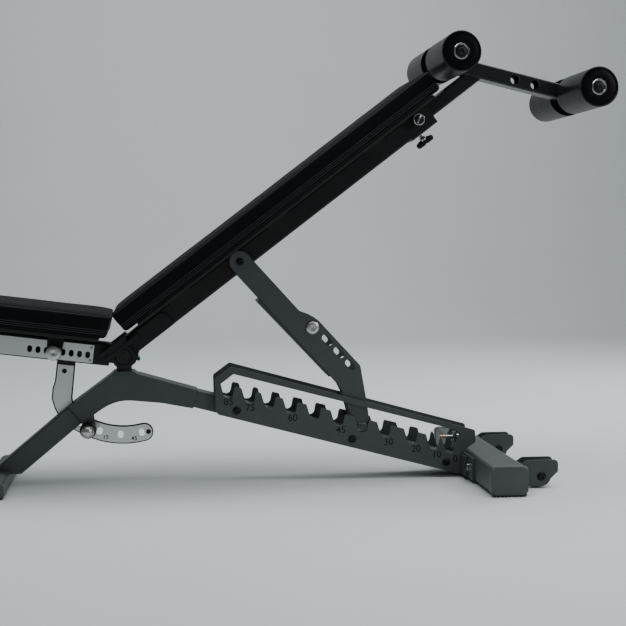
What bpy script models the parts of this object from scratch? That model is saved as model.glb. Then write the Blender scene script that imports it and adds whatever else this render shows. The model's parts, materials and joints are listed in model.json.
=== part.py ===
"""Adjustable weight bench with a ladder back support and a leg roller attachment.

Lengths are in millimetres here and become metres when a mesh is made.  +X runs from the seat
to the ladder foot, +Y is the far side, +Z is up.  The back and the seat turn on one pivot.
"""
import math

import bmesh
import bpy
from mathutils import Matrix, Vector

MM = 0.001
GAP = 0.3                      # between pieces that touch on the real bench

# Driving dimensions
PIVOT_X = -404.8               # puts the origin under the middle of the whole bench
PIVOT_Z = 325.0
BACK_ANGLE = 37.5              # the rung the back is set to
SEAT_ANGLE = 7.0               # the quadrant hole the seat is set to
SEAT_HOLES = (0, 7, 15, 30, 45)
LADDER_RUNGS = (85, 75, 67.5, 60, 52.5, 45, 37.5, 30, 20, 10, 0)
LADDER_SLOPE = 15.0
FRAME_HALF_WIDTH = 35.0
WALL = 3.0
PROP_FROM_PIVOT = (292.0, 235.5)       # prop bolt, seen from the pivot, back at BACK_ANGLE
PIN_FROM_PIVOT = (605.0, -190.0)       # prop pin in its notch at BACK_ANGLE
PIN_RADIUS = 11.5
PAD_WIDTH = 302.0
ROLLER_RADIUS = 50.0
ROLLER_INNER, ROLLER_OUTER = 26.0, 203.5
FOOT_HALF_WIDTH = 306.0

PROP_IN, PROP_OUT = 39.5, 45.5         # the prop's side plates
LADDER_IN, LADDER_OUT = 48.0, 54.0     # the ladder plates

for thing in list(bpy.data.objects):
    bpy.data.objects.remove(thing, do_unlink=True)


# ---------------------------------------------------------------- materials

def finish(name, colour, roughness, metallic=0.0):
    material = bpy.data.materials.new(name)
    material.use_nodes = True
    shader = material.node_tree.nodes["Principled BSDF"]
    shader.inputs["Base Color"].default_value = (*colour, 1.0)
    shader.inputs["Roughness"].default_value = roughness
    shader.inputs["Metallic"].default_value = metallic
    return material


COATED = finish("powder_coated_steel", (0.028, 0.032, 0.035), 0.55, 0.2)
BRUSHED = finish("brushed_steel", (0.55, 0.56, 0.55), 0.35, 1.0)
CHROME = finish("chrome", (0.7, 0.72, 0.73), 0.12, 1.0)
RUBBER = finish("rubber", (0.012, 0.012, 0.013), 0.8)
FOAM = finish("roller_foam", (0.014, 0.014, 0.015), 0.7)
VINYL = finish("vinyl", (0.012, 0.012, 0.014), 0.45)
PLYWOOD = finish("plywood", (0.3, 0.2, 0.11), 0.7)
NYLON = finish("nylon", (0.6, 0.6, 0.57), 0.5)
PLASTIC = finish("plastic", (0.015, 0.015, 0.016), 0.5)


# ---------------------------------------------------------------- frames: an empty on each joint's axis

def turned_frame(name, x, z, angle, parent=None):
    """An empty whose X axis is turned up by angle in the bench's side plane."""
    empty = bpy.data.objects.new(name, None)
    bpy.context.collection.objects.link(empty)
    where = Matrix.Translation(Vector((x, 0.0, z)) * MM) @ Matrix.Rotation(-math.radians(angle), 4, "Y")
    empty.parent = parent
    empty.matrix_basis = where
    return empty


def turn(point, angle):
    a = math.radians(angle)
    return (point[0] * math.cos(a) - point[1] * math.sin(a),
            point[0] * math.sin(a) + point[1] * math.cos(a))


def distance(p, q):
    return math.hypot(p[0] - q[0], p[1] - q[1])


PROP_BOLT = turn(PROP_FROM_PIVOT, -BACK_ANGLE)             # in the back's own frame
PROP_LENGTH = distance(PROP_FROM_PIVOT, PIN_FROM_PIVOT)
PROP_TILT = math.degrees(math.atan2(PIN_FROM_PIVOT[1] - PROP_FROM_PIVOT[1],
                                    PIN_FROM_PIVOT[0] - PROP_FROM_PIVOT[0]))

pivot = turned_frame("pivot", PIVOT_X, PIVOT_Z, 0.0)
seat = turned_frame("seat_frame", PIVOT_X, PIVOT_Z, -SEAT_ANGLE)
back = turned_frame("back_frame", PIVOT_X, PIVOT_Z, BACK_ANGLE)
ladder = turned_frame("ladder_frame", PIVOT_X + PIN_FROM_PIVOT[0], PIVOT_Z + PIN_FROM_PIVOT[1],
                      -LADDER_SLOPE)
prop = turned_frame("prop_frame", PROP_BOLT[0], PROP_BOLT[1], PROP_TILT - BACK_ANGLE, back)


# ---------------------------------------------------------------- shapes

def add_piece(name, bm, frame, material, smooth=False):
    bmesh.ops.remove_doubles(bm, verts=bm.verts, dist=0.001)
    bmesh.ops.recalc_face_normals(bm, faces=bm.faces)
    bmesh.ops.scale(bm, vec=(MM, MM, MM), verts=bm.verts)
    mesh = bpy.data.meshes.new(name)
    bm.to_mesh(mesh)
    bm.free()
    piece = bpy.data.objects.new(name, mesh)
    bpy.context.collection.objects.link(piece)
    piece.parent = frame
    if material is None:
        piece.hide_render = True
        piece.display_type = "WIRE"
    else:
        mesh.materials.append(material)
    if smooth:
        mesh.shade_smooth()
        mesh.set_sharp_from_angle(angle=math.radians(40))
    return piece


def cut(piece, cutter, operation="DIFFERENCE"):
    modifier = piece.modifiers.new(cutter.name, "BOOLEAN")
    modifier.operation = operation
    modifier.solver = "EXACT"
    modifier.object = cutter
    return piece


def rounded(points, segments=4):
    """Side outline from (x, z) or (x, z, radius) corners."""
    outline = []
    count = len(points)
    for i, corner in enumerate(points):
        here = Vector(corner[:2])
        radius = corner[2] if len(corner) > 2 else 0.0
        if not radius:
            outline.append(here)
            continue
        before = (Vector(points[i - 1][:2]) - here).normalized()
        after = (Vector(points[(i + 1) % count][:2]) - here).normalized()
        half = before.angle(after) / 2
        centre = here + (before + after).normalized() * (radius / math.sin(half))
        start = here + before * (radius / math.tan(half)) - centre
        sweep = math.pi - 2 * half
        if before.x * after.y - before.y * after.x > 0:
            sweep = -sweep
        for step in range(segments + 1):
            a = sweep * step / segments
            outline.append(centre + Vector((start.x * math.cos(a) - start.y * math.sin(a),
                                            start.x * math.sin(a) + start.y * math.cos(a))))
    return outline


def extrude_outline(bm, outline, y0, y1):
    face = bm.faces.new([bm.verts.new((p[0], y0, p[1])) for p in outline])
    made = bmesh.ops.extrude_face_region(bm, geom=[face])["geom"]
    moved = [v for v in made if isinstance(v, bmesh.types.BMVert)]
    bmesh.ops.translate(bm, vec=(0, y1 - y0, 0), verts=moved)


def plate(name, outline, y0, y1, frame, material, smooth=False):
    bm = bmesh.new()
    extrude_outline(bm, outline, y0, y1)
    return add_piece(name, bm, frame, material, smooth)


def box(name, low, high, frame, material, edge=0.0, segments=1):
    bm = bmesh.new()
    extrude_outline(bm, [(low[0], low[2]), (high[0], low[2]), (high[0], high[2]), (low[0], high[2])],
                    low[1], high[1])
    if edge:
        bmesh.ops.bevel(bm, geom=bm.edges[:], offset=edge, offset_type="OFFSET", segments=segments,
                        profile=0.5, affect="EDGES")
    return add_piece(name, bm, frame, material)


def join(piece, *others):
    for other in others:
        cut(piece, other, "UNION")
    return piece


def circle(x, z, radius, segments=24, start=0.0):
    return [(x + radius * math.cos(start + 2 * math.pi * i / segments),
             z + radius * math.sin(start + 2 * math.pi * i / segments)) for i in range(segments)]


def rod(name, x, z, radius, y0, y1, frame, material, segments=24):
    return plate(name, circle(x, z, radius, segments), y0, y1, frame, material, smooth=True)


def ring_prism(bm, outer, inner, y0, y1):
    """A closed tube between two outlines with the same number of points."""
    count = len(outer)
    loops = [[bm.verts.new((p[0], y, p[1])) for p in line] for y in (y0, y1) for line in (outer, inner)]
    for i in range(count):
        j = (i + 1) % count
        for first, second in ((0, 2), (3, 1), (2, 3), (1, 0)):
            bm.faces.new((loops[first][i], loops[first][j], loops[second][j], loops[second][i]))


def sleeve(name, x, z, outer, inner, y0, y1, frame, material, segments=24):
    bm = bmesh.new()
    ring_prism(bm, circle(x, z, outer, segments), circle(x, z, inner, segments), y0, y1)
    return add_piece(name, bm, frame, material, smooth=True)


def turned(name, profile, x, z, frame, material, segments=24):
    """A solid of revolution about the line along Y through (x, z); profile is (y, radius) pairs."""
    bm = bmesh.new()
    rings = []
    for y, radius in profile:
        if radius:
            rings.append([bm.verts.new((p[0], y, p[1])) for p in circle(x, z, radius, segments)])
        else:
            rings.append([bm.verts.new((x, y, z))])
    for one, two in zip(rings, rings[1:]):
        for i in range(segments):
            j = (i + 1) % segments
            corners = [one[i % len(one)], one[j % len(one)], two[j % len(two)], two[i % len(two)]]
            bm.faces.new(list(dict.fromkeys(corners)))
    if len(rings[0]) > 1:
        bm.faces.new(rings[0])
    if len(rings[-1]) > 1:
        bm.faces.new(rings[-1])
    return add_piece(name, bm, frame, material, smooth=True)


def rectangle(low, high, radius, segments=3):
    return rounded([(low[0], low[1], radius), (high[0], low[1], radius),
                    (high[0], high[1], radius), (low[0], high[1], radius)], segments)


def square_tube(name, start, end, low, high, half_width, frame, material, radius=5.0):
    """A hollow tube from start to end, (x, z) points; low and high are its depth about that line."""
    length = distance(start, end)
    angle = math.atan2(end[1] - start[1], end[0] - start[0])
    bm = bmesh.new()
    ring_prism(bm, rectangle((-half_width, low), (half_width, high), radius),
               rectangle((-half_width + WALL, low + WALL), (half_width - WALL, high - WALL), radius - 2.0),
               0.0, length)
    # The ring is made in X and Z and runs along Y: lay it along +X first, then turn it.
    bmesh.ops.transform(bm, matrix=Matrix.Rotation(-math.pi / 2, 4, "Z"), verts=bm.verts)
    bmesh.ops.transform(bm, matrix=Matrix.Translation((start[0], 0.0, start[1]))
                        @ Matrix.Rotation(-angle, 4, "Y"), verts=bm.verts)
    return add_piece(name, bm, frame, material, smooth=True)


def cross_tube(name, low, high, half_length, frame, material, radius=6.0):
    """A hollow tube along Y with its section between low and high, (x, z) corners."""
    bm = bmesh.new()
    inner_low = (low[0] + WALL, low[1] + WALL)
    inner_high = (high[0] - WALL, high[1] - WALL)
    ring_prism(bm, rectangle(low, high, radius), rectangle(inner_low, inner_high, radius - 2.0),
               -half_length, half_length)
    return add_piece(name, bm, frame, material, smooth=True)


def drill(piece, name, outlines, y0, y1, frame):
    """Cut through a piece with outlines that don't touch each other."""
    bm = bmesh.new()
    for outline in outlines:
        extrude_outline(bm, outline, y0, y1)
    return cut(piece, add_piece(name, bm, frame, None))


def sides():
    """Each side's name and the sign of Y there."""
    return (("near", -1.0), ("far", 1.0))


def span(sign, a, b):
    return (a, b) if sign > 0 else (-b, -a)


def bolt(name, x, z, shaft, head, inner, outer, frame, material=CHROME):
    """A cross bolt with a button head at each end, lying outside inner."""
    profile = [(-outer, head * 0.55), (-outer + 1.2, head * 0.85), (-inner, head), (-inner, shaft),
               (inner, shaft), (inner, head), (outer - 1.2, head * 0.85), (outer, head * 0.55)]
    return turned(name, profile, x, z, frame, material, segments=12)


# ---------------------------------------------------------------- base frame

def ladder_point(u, w):
    """A point in the ladder's frame, seen from the pivot."""
    x, z = turn((u, w), -LADDER_SLOPE)
    return x + PIN_FROM_PIVOT[0], z + PIN_FROM_PIVOT[1]


TUBE_START = -432.0                          # where the ladder tube meets the apex
TUBE_LOW, TUBE_HIGH = -56.5, -14.0
LEG_DIRECTION = turn((1.0, 0.0), 40.0)
LEG_JOINT = (-122.0, -146.5)                 # middle of the joint face, from the pivot
LEG_DEPTH = 53.0
FOOT_LOW, FOOT_HIGH = (-330.0, 4.0), (-281.0, 42.0)      # front foot tube, z from the floor
FRONT_FOOT_HALF = 165.0
REAR_LOW, REAR_HIGH = (876.5, 6.0), (965.0, 72.0)        # rear foot tube


def from_floor(z):
    return z - PIVOT_Z


def front_foot():
    low = (FOOT_LOW[0], from_floor(FOOT_LOW[1]))
    high = (FOOT_HIGH[0], from_floor(FOOT_HIGH[1]))
    foot = cross_tube("front_foot", low, high, FRONT_FOOT_HALF, pivot, COATED)
    join(foot, handle_bar())
    for side, sign in sides():
        y0, y1 = span(sign, FRONT_FOOT_HALF + GAP, FRONT_FOOT_HALF + 18.0)
        box("front_foot_cap_" + side, (low[0], y0, from_floor(0.0)), (high[0], y1, high[1]),
            pivot, RUBBER, edge=3.0)


def front_leg():
    start = (LEG_JOINT[0] - 245.0 * LEG_DIRECTION[0], LEG_JOINT[1] - 245.0 * LEG_DIRECTION[1])
    end = (LEG_JOINT[0] - 1.0 * LEG_DIRECTION[0], LEG_JOINT[1] - 1.0 * LEG_DIRECTION[1])
    leg = square_tube("front_leg", start, end, -LEG_DEPTH / 2, LEG_DEPTH / 2, FRAME_HALF_WIDTH,
                      pivot, COATED)
    foot_seat = box("foot_seat_cutter", (-420.0, -60.0, from_floor(-60.0)),
                    (FOOT_HIGH[0] + GAP, 60.0, from_floor(FOOT_HIGH[1] + GAP)), pivot, None)
    floor_side = box("floor_cutter", (-420.0, -60.0, from_floor(-60.0)),
                     (-100.0, 60.0, from_floor(33.0)), pivot, None)
    cut(leg, foot_seat)
    cut(leg, floor_side)
    return leg


def apex():
    """The bridge between leg and ladder tube: a channel, open underneath for the quadrant."""
    deep = LEG_DEPTH / 2
    normal = (-LEG_DIRECTION[1], LEG_DIRECTION[0])
    top = (LEG_JOINT[0] + deep * normal[0], LEG_JOINT[1] + deep * normal[1])
    bottom = (LEG_JOINT[0] - deep * normal[0], LEG_JOINT[1] - deep * normal[1])
    outline = rounded([top, (-30.0, -45.0, 12.0), (38.0, -47.0, 12.0),
                       ladder_point(TUBE_START - GAP, TUBE_HIGH + 2.0),
                       ladder_point(TUBE_START - GAP, TUBE_LOW - 3.0),
                       (92.0, -120.0, 90.0), (-20.0, -109.0, 110.0), bottom], 5)
    body = plate("apex_frame", outline, -FRAME_HALF_WIDTH, FRAME_HALF_WIDTH, pivot, COATED)
    inner = [(top[0] - 20.0, top[1] - 28.0), (-33.0, -50.0), (36.0, -52.5),
             ladder_point(TUBE_START + 30.0, TUBE_HIGH - 3.0), (230.0, -220.0), (-130.0, -220.0)]
    drill(body, "apex_hollow_cutter", [inner], -FRAME_HALF_WIDTH + WALL, FRAME_HALF_WIDTH - WALL, pivot)
    saddle = [(-34.0, -48.0), (-25.0, -39.5), (25.0, -39.5), (38.0, -50.0)]
    join(body, box("pivot_pedestal", (-19.0, -12.0, -49.0), (19.0, 12.0, -18.0), pivot, None),
         plate("pivot_barrel", circle(0.0, 0.0, 26.5, 32), -14.5, 14.5, pivot, None),
         plate("pivot_saddle", saddle, -34.0, 34.0, pivot, None))
    drill(body, "pivot_bore_cutter", [circle(0.0, 0.0, 12.5 + GAP, 24)], -20.0, 20.0, pivot)
    return body


def quadrant_slot(piece):
    """The slot in the top and bottom walls that the seat quadrant swings through."""
    along, across = 66.0, 50.0
    middle = Vector(LEG_JOINT)
    direction = Vector(LEG_DIRECTION)
    normal = Vector((-direction.y, direction.x))
    ends = ((-along, -across), (along - 18.0, -across), (along - 18.0, across), (-along, across))
    corners = [middle + direction * a + normal * b for a, b in ends]
    drill(piece, piece.name + "_slot_cutter", [corners], -8.0, 8.0, pivot)


def rear_tube():
    """Runs under the ladder, between its plates, in the ladder's own frame."""
    middle = (TUBE_LOW + TUBE_HIGH) / 2
    tube = square_tube("rear_tube", (TUBE_START, middle), (292.0, middle), TUBE_LOW - middle,
                       TUBE_HIGH - middle, FRAME_HALF_WIDTH, ladder, COATED)
    cut(tube, box("tube_end_cutter", (REAR_LOW[0] - 10.0, -60.0, from_floor(-40.0)),
                  (REAR_LOW[0] + 90.0, 60.0, from_floor(120.0)), pivot, None))
    plate_low = (REAR_LOW[0] - 12.3, -94.0, from_floor(9.0))
    join(tube, box("ladder_end_plate", plate_low, (REAR_LOW[0] - 6.3, 94.0, from_floor(60.0)), pivot, None))
    join(tube, box("catch_bracket", (REAR_LOW[0] - 26.0, -36.0, from_floor(52.8)),
                   (REAR_LOW[0] - 20.3, -12.0, from_floor(114.0)), pivot, None))
    cut(tube, box("catch_hole_cutter", (REAR_LOW[0] - 40.0, -28.4, from_floor(97.1)),
                  (REAR_LOW[0], -19.6, from_floor(105.9)), pivot, None))
    drill(tube, "rear_tube_bolt_cutter", [circle(x, z, 5.3 + GAP, 16) for x, z in LADDER_BOLTS],
          -60.0, 60.0, ladder)
    return tube


LADDER_BOLTS = ((-325.0, -35.5), (-19.0, -35.5), (237.0, -35.5))


def rung_place(angle):
    """Where the prop pin meets the ladder line, in the ladder's frame, with the back at angle."""
    bolt_at = turn(PROP_FROM_PIVOT, angle - BACK_ANGLE)
    seen = turn((bolt_at[0] - PIN_FROM_PIVOT[0], bolt_at[1] - PIN_FROM_PIVOT[1]), LADDER_SLOPE)
    return seen[0] + math.sqrt(PROP_LENGTH ** 2 - seen[1] ** 2)


def ladder_plates():
    """Side plates with an open window; its lower edge is the row of hooked notches."""
    top, window_top, tooth, bottom = 69.0, 52.0, 22.0, -57.0
    lead = math.radians(58.0)                 # the long side that the pin climbs
    radius = PIN_RADIUS + 0.8
    outline = rounded([(-376.0, -50.0, 3.0), (-368.0, bottom, 3.0), (283.0, bottom, 3.0),
                       (268.0, -1.5), (299.0, 34.0, 5.0), (289.0, top - 5.0, 6.0),
                       (-366.0, top, 7.0), (-399.0, 28.0, 7.0)], 3)
    edge = []
    for angle in LADDER_RUNGS:
        middle = rung_place(angle)
        foot = (middle - radius * math.sin(lead), -radius * math.cos(lead))
        climb = (tooth - foot[1]) / math.sin(lead)
        edge.append((foot[0] - climb * math.cos(lead), tooth))
        turn_start = math.pi + (math.pi / 2 - lead)
        for step in range(7):
            a = turn_start + (2 * math.pi - turn_start) * step / 6
            edge.append((middle + radius * math.cos(a), radius * math.sin(a)))
        edge.append((middle + radius - 1.5, tooth - 5.0))
        edge.append((middle + radius + 0.8, tooth))
    last = edge[-2][0]
    window = edge[1:-1] + [(last + 4.0, window_top - 8.0), (last - 5.0, window_top), (-357.0, window_top),
                           (-382.0, 20.0)]
    for side, sign in sides():
        y0, y1 = span(sign, LADDER_IN, LADDER_OUT)
        piece = plate("ladder_plate_" + side, outline, y0, y1, ladder, COATED)
        drill(piece, "ladder_window_cutter_" + side, [window], y0 - 5.0, y1 + 5.0, ladder)
        drill(piece, "ladder_bolt_cutter_" + side,
              [circle(x, z, 5.3 + GAP, 16) for x, z in LADDER_BOLTS], y0 - 5.0, y1 + 5.0, ladder)
    for number, (x, z) in enumerate(LADDER_BOLTS, 1):
        bolt(f"ladder_bolt_{number}", x, z, 5.3, 10.0, LADDER_OUT + GAP, LADDER_OUT + 6.0, ladder)


def rear_foot():
    low = (REAR_LOW[0], from_floor(REAR_LOW[1]))
    high = (REAR_HIGH[0], from_floor(REAR_HIGH[1]))
    half = FOOT_HALF_WIDTH - 22.0
    foot = cross_tube("rear_foot", low, high, half, pivot, COATED, radius=8.0)
    for side, sign in sides():
        y0, y1 = span(sign, half + GAP, FOOT_HALF_WIDTH)
        box("rear_foot_cap_" + side, (low[0] - 1.0, y0, from_floor(0.0)), (high[0] + 1.0, y1, high[1] + 1.0),
            pivot, RUBBER, edge=6.0, segments=2)
    join(foot, box("rear_flange", (low[0] - 6.0, -146.0, from_floor(9.0)),
                   (low[0] + 1.5, 146.0, from_floor(65.0)), pivot, None))


WHEEL = (1029.0, 29.0)                  # axle, from the pivot and from the floor
WHEEL_RADIUS = 26.0
CHEEK_IN, CHEEK_OUT = 190.0, 213.0


def wheels():
    x, z = WHEEL[0], from_floor(WHEEL[1])
    outline = rounded([(REAR_HIGH[0] + GAP, from_floor(12.0)), (REAR_HIGH[0] + 38.0, from_floor(4.0), 6.0),
                       (1032.0, from_floor(4.0), 12.0), (1071.0, from_floor(40.0), 5.0),
                       (1071.0, from_floor(70.0), 10.0), (992.0, from_floor(70.0), 14.0),
                       (REAR_HIGH[0] + GAP, from_floor(52.0))], 3)
    for side, sign in sides():
        y0, y1 = span(sign, CHEEK_IN - 26.0, CHEEK_OUT)
        bracket = plate("wheel_bracket_" + side, outline, y0, y1, pivot, COATED)
        pocket_y = span(sign, CHEEK_IN - 22.0, CHEEK_OUT - 4.0)
        pocket = [(REAR_HIGH[0] + 14.0, from_floor(-20.0)), (1100.0, from_floor(-20.0)),
                  (1100.0, from_floor(90.0)), (REAR_HIGH[0] + 14.0, from_floor(90.0))]
        drill(bracket, "wheel_pocket_cutter_" + side, [pocket], *pocket_y, pivot)
        drill(bracket, "wheel_axle_cutter_" + side, [circle(x, z, 5.0 + GAP, 16)], y0 - 5.0, y1 + 5.0, pivot)
        middle = (pocket_y[0] + pocket_y[1]) / 2
        hub = (pocket_y[1] - pocket_y[0]) / 2 - 1.0
        sleeve("wheel_" + side, x, z, WHEEL_RADIUS, 5.0 + GAP, middle - hub, middle + hub, pivot, RUBBER, 24)
        ends = [y0 - 5.0, y1 + 5.0]
        head = 10.0
        profile = [(ends[0], head * 0.6), (ends[0] + 1.5, head), (y0 - GAP, head), (y0 - GAP, 5.0),
                   (y1 + GAP, 5.0), (y1 + GAP, head), (ends[1] - 1.5, head), (ends[1], head * 0.6)]
        turned("wheel_axle_" + side, profile, x, z, pivot, CHROME, 12)


def handle_bar():
    """A bent round bar on the front of the foot, for lifting the bench on its wheels."""
    x_back, x_front, half = FOOT_LOW[0] + 1.5, FOOT_LOW[0] - 58.0, 70.0
    z, radius, bend = from_floor(25.0), 10.0, 24.0
    route = []
    for x, y in ((x_back, -half), (x_front + bend, -half)):
        route.append((x, y))
    for step in range(1, 5):
        a = math.radians(22.5 * step)
        route.append((x_front + bend - bend * math.sin(a), -half + bend - bend * math.cos(a)))
    route += [(x, -y) for x, y in reversed(route)]
    bm = bmesh.new()
    rings = []
    for i, (x, y) in enumerate(route):
        before = route[max(i - 1, 0)]
        after = route[min(i + 1, len(route) - 1)]
        along = Vector((after[0] - before[0], after[1] - before[1], 0.0)).normalized()
        side_way = Vector((-along.y, along.x, 0.0))
        rings.append([bm.verts.new(Vector((x, y, z)) + side_way * (radius * math.cos(2 * math.pi * k / 12))
                                   + Vector((0, 0, 1)) * (radius * math.sin(2 * math.pi * k / 12)))
                      for k in range(12)])
    for one, two in zip(rings, rings[1:]):
        for k in range(12):
            m = (k + 1) % 12
            bm.faces.new((one[k], one[m], two[m], two[k]))
    bm.faces.new(rings[0])
    bm.faces.new(rings[-1])
    return add_piece("front_handle_bar", bm, pivot, None, smooth=True)


PIN_SWING = -26.0                # quadrant pin, from straight down under the pivot
QUADRANT_RADIUS = 204.0
QUADRANT_HALF_DEPTH = 22.0
QUADRANT_END = 20.8              # middle of its round end, from straight down


def quadrant_lock(body):
    """Pull pin that holds the seat's quadrant, and its housing, which is welded to the apex."""
    x, z = turn((0.0, -QUADRANT_RADIUS), PIN_SWING)
    outline = rounded([(x - 17.0, z - 15.0, 10.0), (x + 17.0, z - 15.0, 10.0), (x + 17.0, z + 14.0, 4.0),
                       (x + 14.0, z + 36.0), (x - 14.5, z + 19.0), (x - 20.0, z)], 3)
    join(body, plate("lock_bracket", outline, -34.0, -28.0, pivot, None),
         rod("lock_sleeve", x, z, 17.0, -58.0, -31.0, pivot, None, 24))
    drill(body, "quadrant_lock_cutter", [circle(x, z, 6.0 + GAP, 16)], -70.0, -20.0, pivot)
    profile = [(-92.0, 5.0), (-90.0, 10.5), (-84.0, 15.5), (-77.0, 16.5), (-70.0, 14.5),
               (-64.5, 9.0), (-64.5, 6.0), (-8.0, 6.0), (-5.6, 4.5)]
    turned("quadrant_pin", profile, x, z, pivot, CHROME, 16)


def ladder_catch():
    """A spring plunger at the end of the ladder window that steadies the pin in the lowest notch."""
    box_low = (REAR_LOW[0] - 61.5, -30.0, from_floor(96.5))
    profile = [(0.0, 3.0), (2.0, 4.0), (42.0, 4.0), (42.0, 7.0), (78.0, 7.0), (81.0, 5.0)]
    rings = bmesh.new()
    made = []
    for along, radius in profile:
        made.append([rings.verts.new((box_low[0] + along, -24.0 + radius * math.cos(2 * math.pi * k / 16),
                                      box_low[2] + 5.0 + radius * math.sin(2 * math.pi * k / 16)))
                     for k in range(16)])
    for one, two in zip(made, made[1:]):
        for k in range(16):
            m = (k + 1) % 16
            rings.faces.new((one[k], one[m], two[m], two[k]))
    rings.faces.new(made[0])
    rings.faces.new(made[-1])
    add_piece("ladder_catch", rings, pivot, CHROME, smooth=True)


# ---------------------------------------------------------------- pivot axle

def axle():
    turned("pivot_axle", [(-45.7, 12.5), (45.7, 12.5)], 0.0, 0.0, pivot, CHROME)
    for side, sign in sides():
        y0, y1 = span(sign, 46.0, 56.0)
        turned("pivot_cap_" + side, [(y0, 19.5), (y1, 19.5)], 0.0, 0.0, pivot, COATED)


# ---------------------------------------------------------------- seat

RAIL = (-400.0, -35.0)
RAIL_LOW, RAIL_HIGH, RAIL_HALF = -30.0, 27.0, 28.0
SLOT_PITCH = 20.4
SEAT_PIN = (-170.6, -7.0)
SEAT_PAD = (-420.0, -40.0, 47.0, 107.5)


def seat_rail():
    middle = (RAIL_LOW + RAIL_HIGH) / 2
    rail = square_tube("seat_rail", (RAIL[0], middle), (RAIL[1], middle), RAIL_LOW - middle,
                       RAIL_HIGH - middle, RAIL_HALF, seat, COATED)
    slots = [rectangle((SEAT_PIN[0] + SLOT_PITCH * n - 6.0, SEAT_PIN[1] - 8.5),
                       (SEAT_PIN[0] + SLOT_PITCH * n + 6.0, SEAT_PIN[1] + 8.5), 5.9, 3)
             for n in range(-3, 5)]
    drill(rail, "rail_slot_cutter", slots, -RAIL_HALF - 5.0, 0.0, seat)
    bore = circle(0.0, 0.0, 12.5 + GAP, 24)
    for side, sign in sides():
        y0, y1 = span(sign, RAIL_HALF + GAP, RAIL_HALF + 3.3)
        scale = plate("seat_scale_" + side, rectangle((-332.0, -26.5), (-75.0, 19.0), 3.0, 2),
                      y0, y1, seat, BRUSHED)
        if sign < 0:
            drill(scale, "scale_slot_cutter", slots, y0 - 3.0, y1 + 3.0, seat)
        y2, y3 = span(sign, 15.5, 26.5)
        lug = plate("seat_lug_" + side,
                    rounded([(-118.0, -20.0), (0.0, -22.0, 21.5), (21.5, -10.0, 12.0), (21.5, 10.0, 12.0),
                             (0.0, 22.0, 21.5), (-118.0, 20.0)], 4), y2, y3, seat, None)
        join(rail, lug)
    drill(rail, "lug_bore_cutter", [bore], -40.0, 40.0, seat)


def quadrant():
    """The J-shaped arm under the rail with a hole for each seat angle, and its bright cover."""
    def band(inner, outer, first, last, steps=10):
        outside = [turn((0.0, -outer), first + (last - first) * i / steps) for i in range(steps + 1)]
        inside = [turn((0.0, -inner), first + (last - first) * i / steps) for i in range(steps + 1)]
        return outside, inside

    def arm_outline(half, shoulder, tail):
        outside, inside = band(QUADRANT_RADIUS - half, QUADRANT_RADIUS + half, -38.0, QUADRANT_END)
        middle = turn((0.0, -QUADRANT_RADIUS), QUADRANT_END)
        round_end = [(middle[0] + half * math.cos(math.radians(t + QUADRANT_END)),
                      middle[1] + half * math.sin(math.radians(t + QUADRANT_END)))
                     for t in range(-75, 76, 15)]
        return shoulder + outside + round_end + inside[::-1] + tail

    outline = arm_outline(QUADRANT_HALF_DEPTH + 1.5,
                          [(-164.0, -31.0), (-164.0, -84.0), (-168.0, -104.0), (-167.0, -130.0),
                           (-157.0, -154.0)],
                          [(-116.0, -122.0), (-118.0, -31.0)])
    arm = plate("quadrant_arm", outline, -3.0, 3.0, seat, COATED)
    cover = arm_outline(QUADRANT_HALF_DEPTH - 1.5,
                        [(-160.5, -41.0), (-160.5, -84.0), (-164.5, -104.0), (-163.5, -129.0),
                         (-154.0, -152.0)],
                        [(-119.5, -122.0), (-121.0, -41.0)])
    skin = plate("quadrant_cover", cover, -5.0, -3.3, seat, BRUSHED)
    holes = []
    for angle in SEAT_HOLES:
        swing = PIN_SWING + angle
        upright = rectangle((-7.2, -QUADRANT_RADIUS - 10.5), (7.2, -QUADRANT_RADIUS + 10.5), 7.1, 3)
        holes.append([turn(p, swing) for p in upright])
    drill(arm, "quadrant_hole_cutter", holes, -20.0, 20.0, seat)
    drill(skin, "cover_hole_cutter", holes, -20.0, 20.0, seat)


def seat_carriage():
    """Slides on the rail with glide strips between; the seat pad is bolted on it."""
    x0, x1 = -250.0, -92.0
    saddle = box("seat_carriage", (x0, -40.0, RAIL_HIGH + 3.5), (x1, 40.0, 36.5), seat, COATED, edge=1.0)
    for number, y in ((1, -15.0), (2, 0.0), (3, 15.0)):
        box(f"glide_strip_{number}", (x0 + 4.0, y - 6.5, RAIL_HIGH + GAP),
            (x1 - 4.0, y + 6.5, RAIL_HIGH + 3.2), seat, NYLON)
    for side, sign in sides():
        y0, y1 = span(sign, 32.3, 37.3)
        tab = plate("carriage_tab_" + side,
                    rounded([(-192.0, RAIL_HIGH + 6.0), (-189.0, -14.0, 12.0), (-168.0, -29.0, 12.0),
                             (-155.0, -22.0, 8.0), (-149.0, RAIL_HIGH + 6.0)], 3), y0, y1, seat, None)
        join(saddle, tab)
    join(saddle, rod("slide_pin_sleeve", *SEAT_PIN, 10.0, -54.0, -35.0, seat, None, 20))
    drill(saddle, "tab_bore_cutter", [circle(*SEAT_PIN, 5.0 + GAP, 16)], -70.0, -20.0, seat)
    profile = [(-74.0, 16.5), (-72.5, 18.5), (-62.0, 19.0), (-56.5, 18.5), (-54.6, 15.0), (-54.6, 5.0),
               (-33.5, 5.0), (-31.8, 4.0)]
    turned("slide_pin", profile, *SEAT_PIN, seat, BRUSHED, 24)


def pad(name, x0, x1, low, high, frame, lean):
    """A plain closed cushion; its end at the hinge leans by lean so that two pads meet."""
    half = PAD_WIDTH / 2
    bm = bmesh.new()
    extrude_outline(bm, [(x0 + lean[0], low), (x1 + lean[1], low), (x1, high), (x0, high)], -half, half)
    bmesh.ops.bevel(bm, geom=bm.edges[:], offset=11.0, offset_type="OFFSET", segments=3, profile=0.5,
                    affect="EDGES")
    return add_piece(name, bm, frame, VINYL, smooth=True)


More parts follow.
